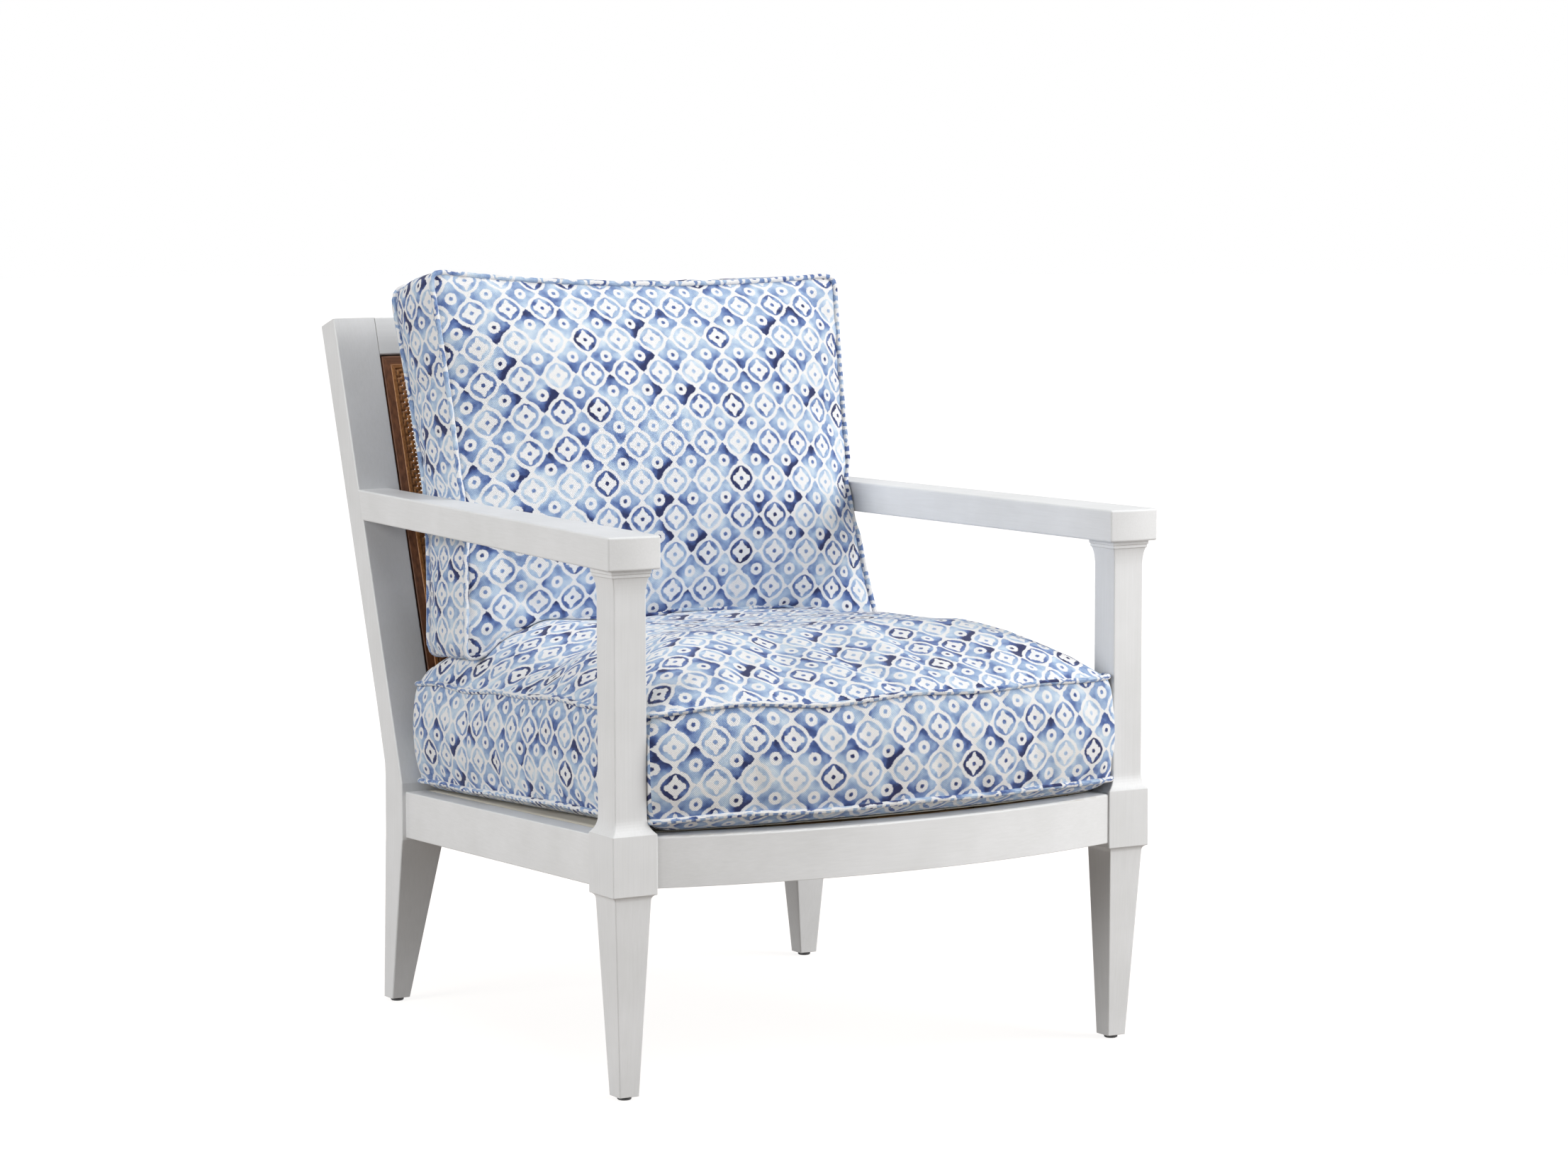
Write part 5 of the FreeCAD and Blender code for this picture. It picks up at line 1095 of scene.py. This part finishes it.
def addStaples(name, plan):
    # staples at even places round the edge of the dust cover, along the edge and flat against it
    loop = withHeight(plan, deckValues["stapleAt"])[seamLoop(*plan.shape[:2])]
    inward = loop * (deckValues["stapleInset"], deckValues["stapleInset"], 1.0)
    lengths = loopLengths(loop)
    parts, level = [], (0.0, 0.0, 1.0)
    for place in np.arange(deckValues["stapleFirst"], lengths[-1], deckValues["staplePitch"]):
        i = int(np.searchsorted(lengths, place)) % len(loop)
        ahead = loop[(i + 1) % len(loop)] - loop[i - 1]
        ahead /= np.linalg.norm(ahead)
        axes = (ahead, np.cross(level, ahead), level)
        parts.append(roundedBlock(inward[i], axes, deckValues["staple"], deckValues["staplePower"], 5, 8))
    points, faces = joinParts(parts)
    staples = makeMesh(name, onDeck(points), faces, finishes["zincSteel"])
    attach(staples, "frame")


def addWebbing(name, lengthwise, node):
    # straps of one direction: each rises over one crossing strap and dives under the next as a cosine
    values = deckValues
    width, thick = values["strap"]
    front, rear, frontHalf, rearHalf = values["cross"]
    shares = (np.arange(values["count"]) + 0.5) / values["count"]
    crossAt = front + (rear - front) * shares
    longAt = -values["long"] + 2 * values["long"] * shares
    profile = np.array([(-1, -1), (-0.96, -1), (0.96, -1), (1, -1), (1, 1), (0.96, 1), (-0.96, 1), (-1, 1)])
    profile = profile * (width / 2, thick * 0.49)
    parts = []
    for number in range(values["count"]):
        if lengthwise:
            x = longAt[number]
            start, bow, half = values["longFront"]
            travel = np.linspace(start + bow * (x / half) ** 2, values["longRear"], values["steps"])
            phase = (travel - crossAt[0]) / (crossAt[1] - crossAt[0])
            centre = np.stack([0 * travel + x, travel], axis=-1)
        else:
            y = crossAt[number]
            reach = frontHalf + (rearHalf - frontHalf) * (y - front) / (rear - front) - values["inset"]
            travel = np.linspace(-reach, reach, values["steps"])
            phase = (travel - longAt[0]) / (longAt[1] - longAt[0])
            centre = np.stack([travel, 0 * travel + y], axis=-1)
        turn = 1 if (number % 2 == 0) == lengthwise else -1
        weave = np.clip(1.6 * np.cos(math.pi * phase), -1, 1)
        height = values["webTop"] - thick + turn * thick * 0.5 * weave
        ring = centre[:, None] + profile[None, :, :1] * ((1.0, 0.0) if lengthwise else (0.0, 1.0))
        points = withHeight(ring, height[:, None] + profile[None, :, 1])
        faces = gridFaces(values["steps"], len(profile), False, True)
        parts.append((points.reshape(-1, 3), faces[:, ::-1] if lengthwise else faces))
    points, faces = joinParts(parts)
    straps = makeMesh(name, onDeck(points), faces, finishes["juteWebbing"])
    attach(straps, "frame")
    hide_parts(node)


addCloth("platformCloth", platformValues, finishes["platformCloth"], "deck_cover")
dustPlan = addCloth("dustCover", dustValues, finishes["blackLining"], "dust_cover")
addStaples("dustStaples", dustPlan)
addWebbing("webbingLong", True, "webbing_lengthwise")
addWebbing("webbingCross", False, "webbing_crosswise")
print("deck: webbing and cloths laid")

# woven cane: plain weave of upright and crosswise strands between the splines
caneValues = {
    "pitch": {True: 0.0058, False: 0.0055},    # of the upright and of the crosswise strands
    "halfWidth": 0.00235, "halfThick": 0.00062, "lift": 0.00072, "sides": 6,
    "shadeStep": (7.31, 0.137),                # each strand's colours start elsewhere in the noise
}


def caneStrands(name, values, upright):
    # strands as flat tubes: each one's middle line rises and falls as a cosine over one crossing after another
    node = pointsOf(nodes["cane_panel"])
    low, high = (node @ rakeUp).min(), (node @ rakeUp).max()
    half = node[:, 0].max()
    plane = (node @ rakeBack).mean()
    along, across = (rakeUp, right) if upright else (right, rakeUp)
    start, end = (low, high) if upright else (-half, half)
    first, last = (-half, half) if upright else (low, high)
    pitch, crossing = values["pitch"][upright], values["pitch"][not upright]
    count = int((last - first) / pitch)
    steps = 2 * int((end - start) / crossing)
    index = np.arange(count)
    places = first + (index + 0.5) * (last - first) / count
    travel = np.linspace(start, end, steps + 1)
    wave = np.cos(np.arange(steps + 1) * math.pi / 2)[None] * np.where(index % 2 == 0, 1, -1)[:, None]
    wave = wave * (1 if upright else -1) * values["lift"]
    angle = np.linspace(0, 2 * math.pi, values["sides"], endpoint=False)[:, None] + math.pi / 6
    centre = places[:, None, None] * across + travel[None, :, None] * along + (plane + wave)[..., None] * rakeBack
    ring = np.cos(angle) * values["halfWidth"] * across + np.sin(angle) * values["halfThick"] * rakeBack
    points = centre[:, :, None] + ring[None, None]
    one = gridFaces(steps + 1, values["sides"], False, True)
    faces = (one[None] + (index * (steps + 1) * values["sides"])[:, None, None]).reshape(-1, 4)
    u = np.tile(np.arange(values["sides"] + 1) / values["sides"], (steps + 1, 1))
    v = np.repeat((travel - start)[:, None], values["sides"] + 1, axis=1)
    shifts = index[:, None] * values["shadeStep"]
    uvs = (gridUvs(u, v)[None] + shifts[:, None]).reshape(-1, 2)
    if upright:
        faces, uvs = faces[:, ::-1], flipUvs(uvs)
    piece = makeMesh(name, points.reshape(-1, 3), faces, finishes["stainedCane"], uvs)
    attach(piece, "frame")
    return piece


caneStrands("caneUprights", caneValues, True)
weavers = caneStrands("caneWeavers", caneValues, False)
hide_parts("cane_panel")
print("cane: woven")

# floor, world and lamps
studio = {
    "floor": "#887F77", "floorRoughness": 0.9,
    "glow": 0.87, "farGlow": 1.02, "glowRun": (0.7, 2.6),    # the floor runs into the white background
    "world": 0.115, "radii": (0.0005, 1.0, 3.0, 9.0, 30.0), "sides": 64,
    "aim": (0.0, 0.0, 0.45),
    "lamps": (
        {"place": (-6.4, -0.6, 2.6), "size": 3.4, "power": 272.0},
        {"place": (4.6, -4.3, 2.8), "size": 4.6, "power": 462.0},
        {"place": (0.0, -0.5, 5.0), "size": 4.0, "power": 100.0},
    ),
}
# 1 for camera, mirror and glass rays, 0 for the light that falls on the chair
seenDirectly = [
    ("rays", "LightPath"),
    ("seenOrMirrored", "Math MAXIMUM", ("rays.Is Camera Ray", "rays.Is Glossy Ray")),
    ("seen", "Math MAXIMUM", ("seenOrMirrored", "rays.Is Transmission Ray")),
]


def buildStudio(values):
    angle = np.linspace(0, 2 * math.pi, values["sides"], endpoint=False)
    ring = np.stack([np.cos(angle), np.sin(angle), 0 * angle], axis=-1)
    points = (np.array(values["radii"])[:, None, None] * ring[None]).reshape(-1, 3)
    faces = gridFaces(len(values["radii"]), values["sides"], False, True)[:, ::-1]
    painted = makeMaterial("paintedFloor", seenDirectly + [
        ("place", "TexCoord"),
        ("away", "VectorMath LENGTH", ("place.Object",)),
        ("glow", "MapRange SMOOTHSTEP", {
            "Value": "away.Value", "From Min": values["glowRun"][0], "From Max": values["glowRun"][1],
            "To Min": values["glow"], "To Max": values["farGlow"]}),
        ("seenGlow", "Math MULTIPLY", ("seen", "glow")),
        ("surface", "BsdfPrincipled", {"Base Color": values["floor"], "Roughness": values["floorRoughness"],
                                       "Emission Color": white, "Emission Strength": "seenGlow"}),
    ])
    makeMesh("studioFloor", points, faces, painted)
    world = bpy.data.worlds.new("studioWorld")
    scene.world = world
    world.use_nodes = True
    fillTree(world.node_tree, seenDirectly + [
        ("strength", "MapRange", {"Value": "seen", "To Min": values["world"], "To Max": 1.0}),
        ("background", "Background", {"Color": white, "Strength": "strength"}),
        ("output", "OutputWorld", ("background",)),
    ])
    for number, lamp in enumerate(values["lamps"]):
        data = bpy.data.lights.new(f"lamp{number}", "AREA")
        data.size = lamp["size"]
        data.energy = lamp["power"]
        light = bpy.data.objects.new(f"lamp{number}", data)
        scene.collection.objects.link(light)
        light.location = lamp["place"]
        aim = Vector(values["aim"]) - light.location
        light.rotation_euler = aim.to_track_quat("-Z", "Y").to_euler()


buildStudio(studio)
scene.view_settings.view_transform = "Standard"
print("studio: lit")

bpy.context.view_layer.update()
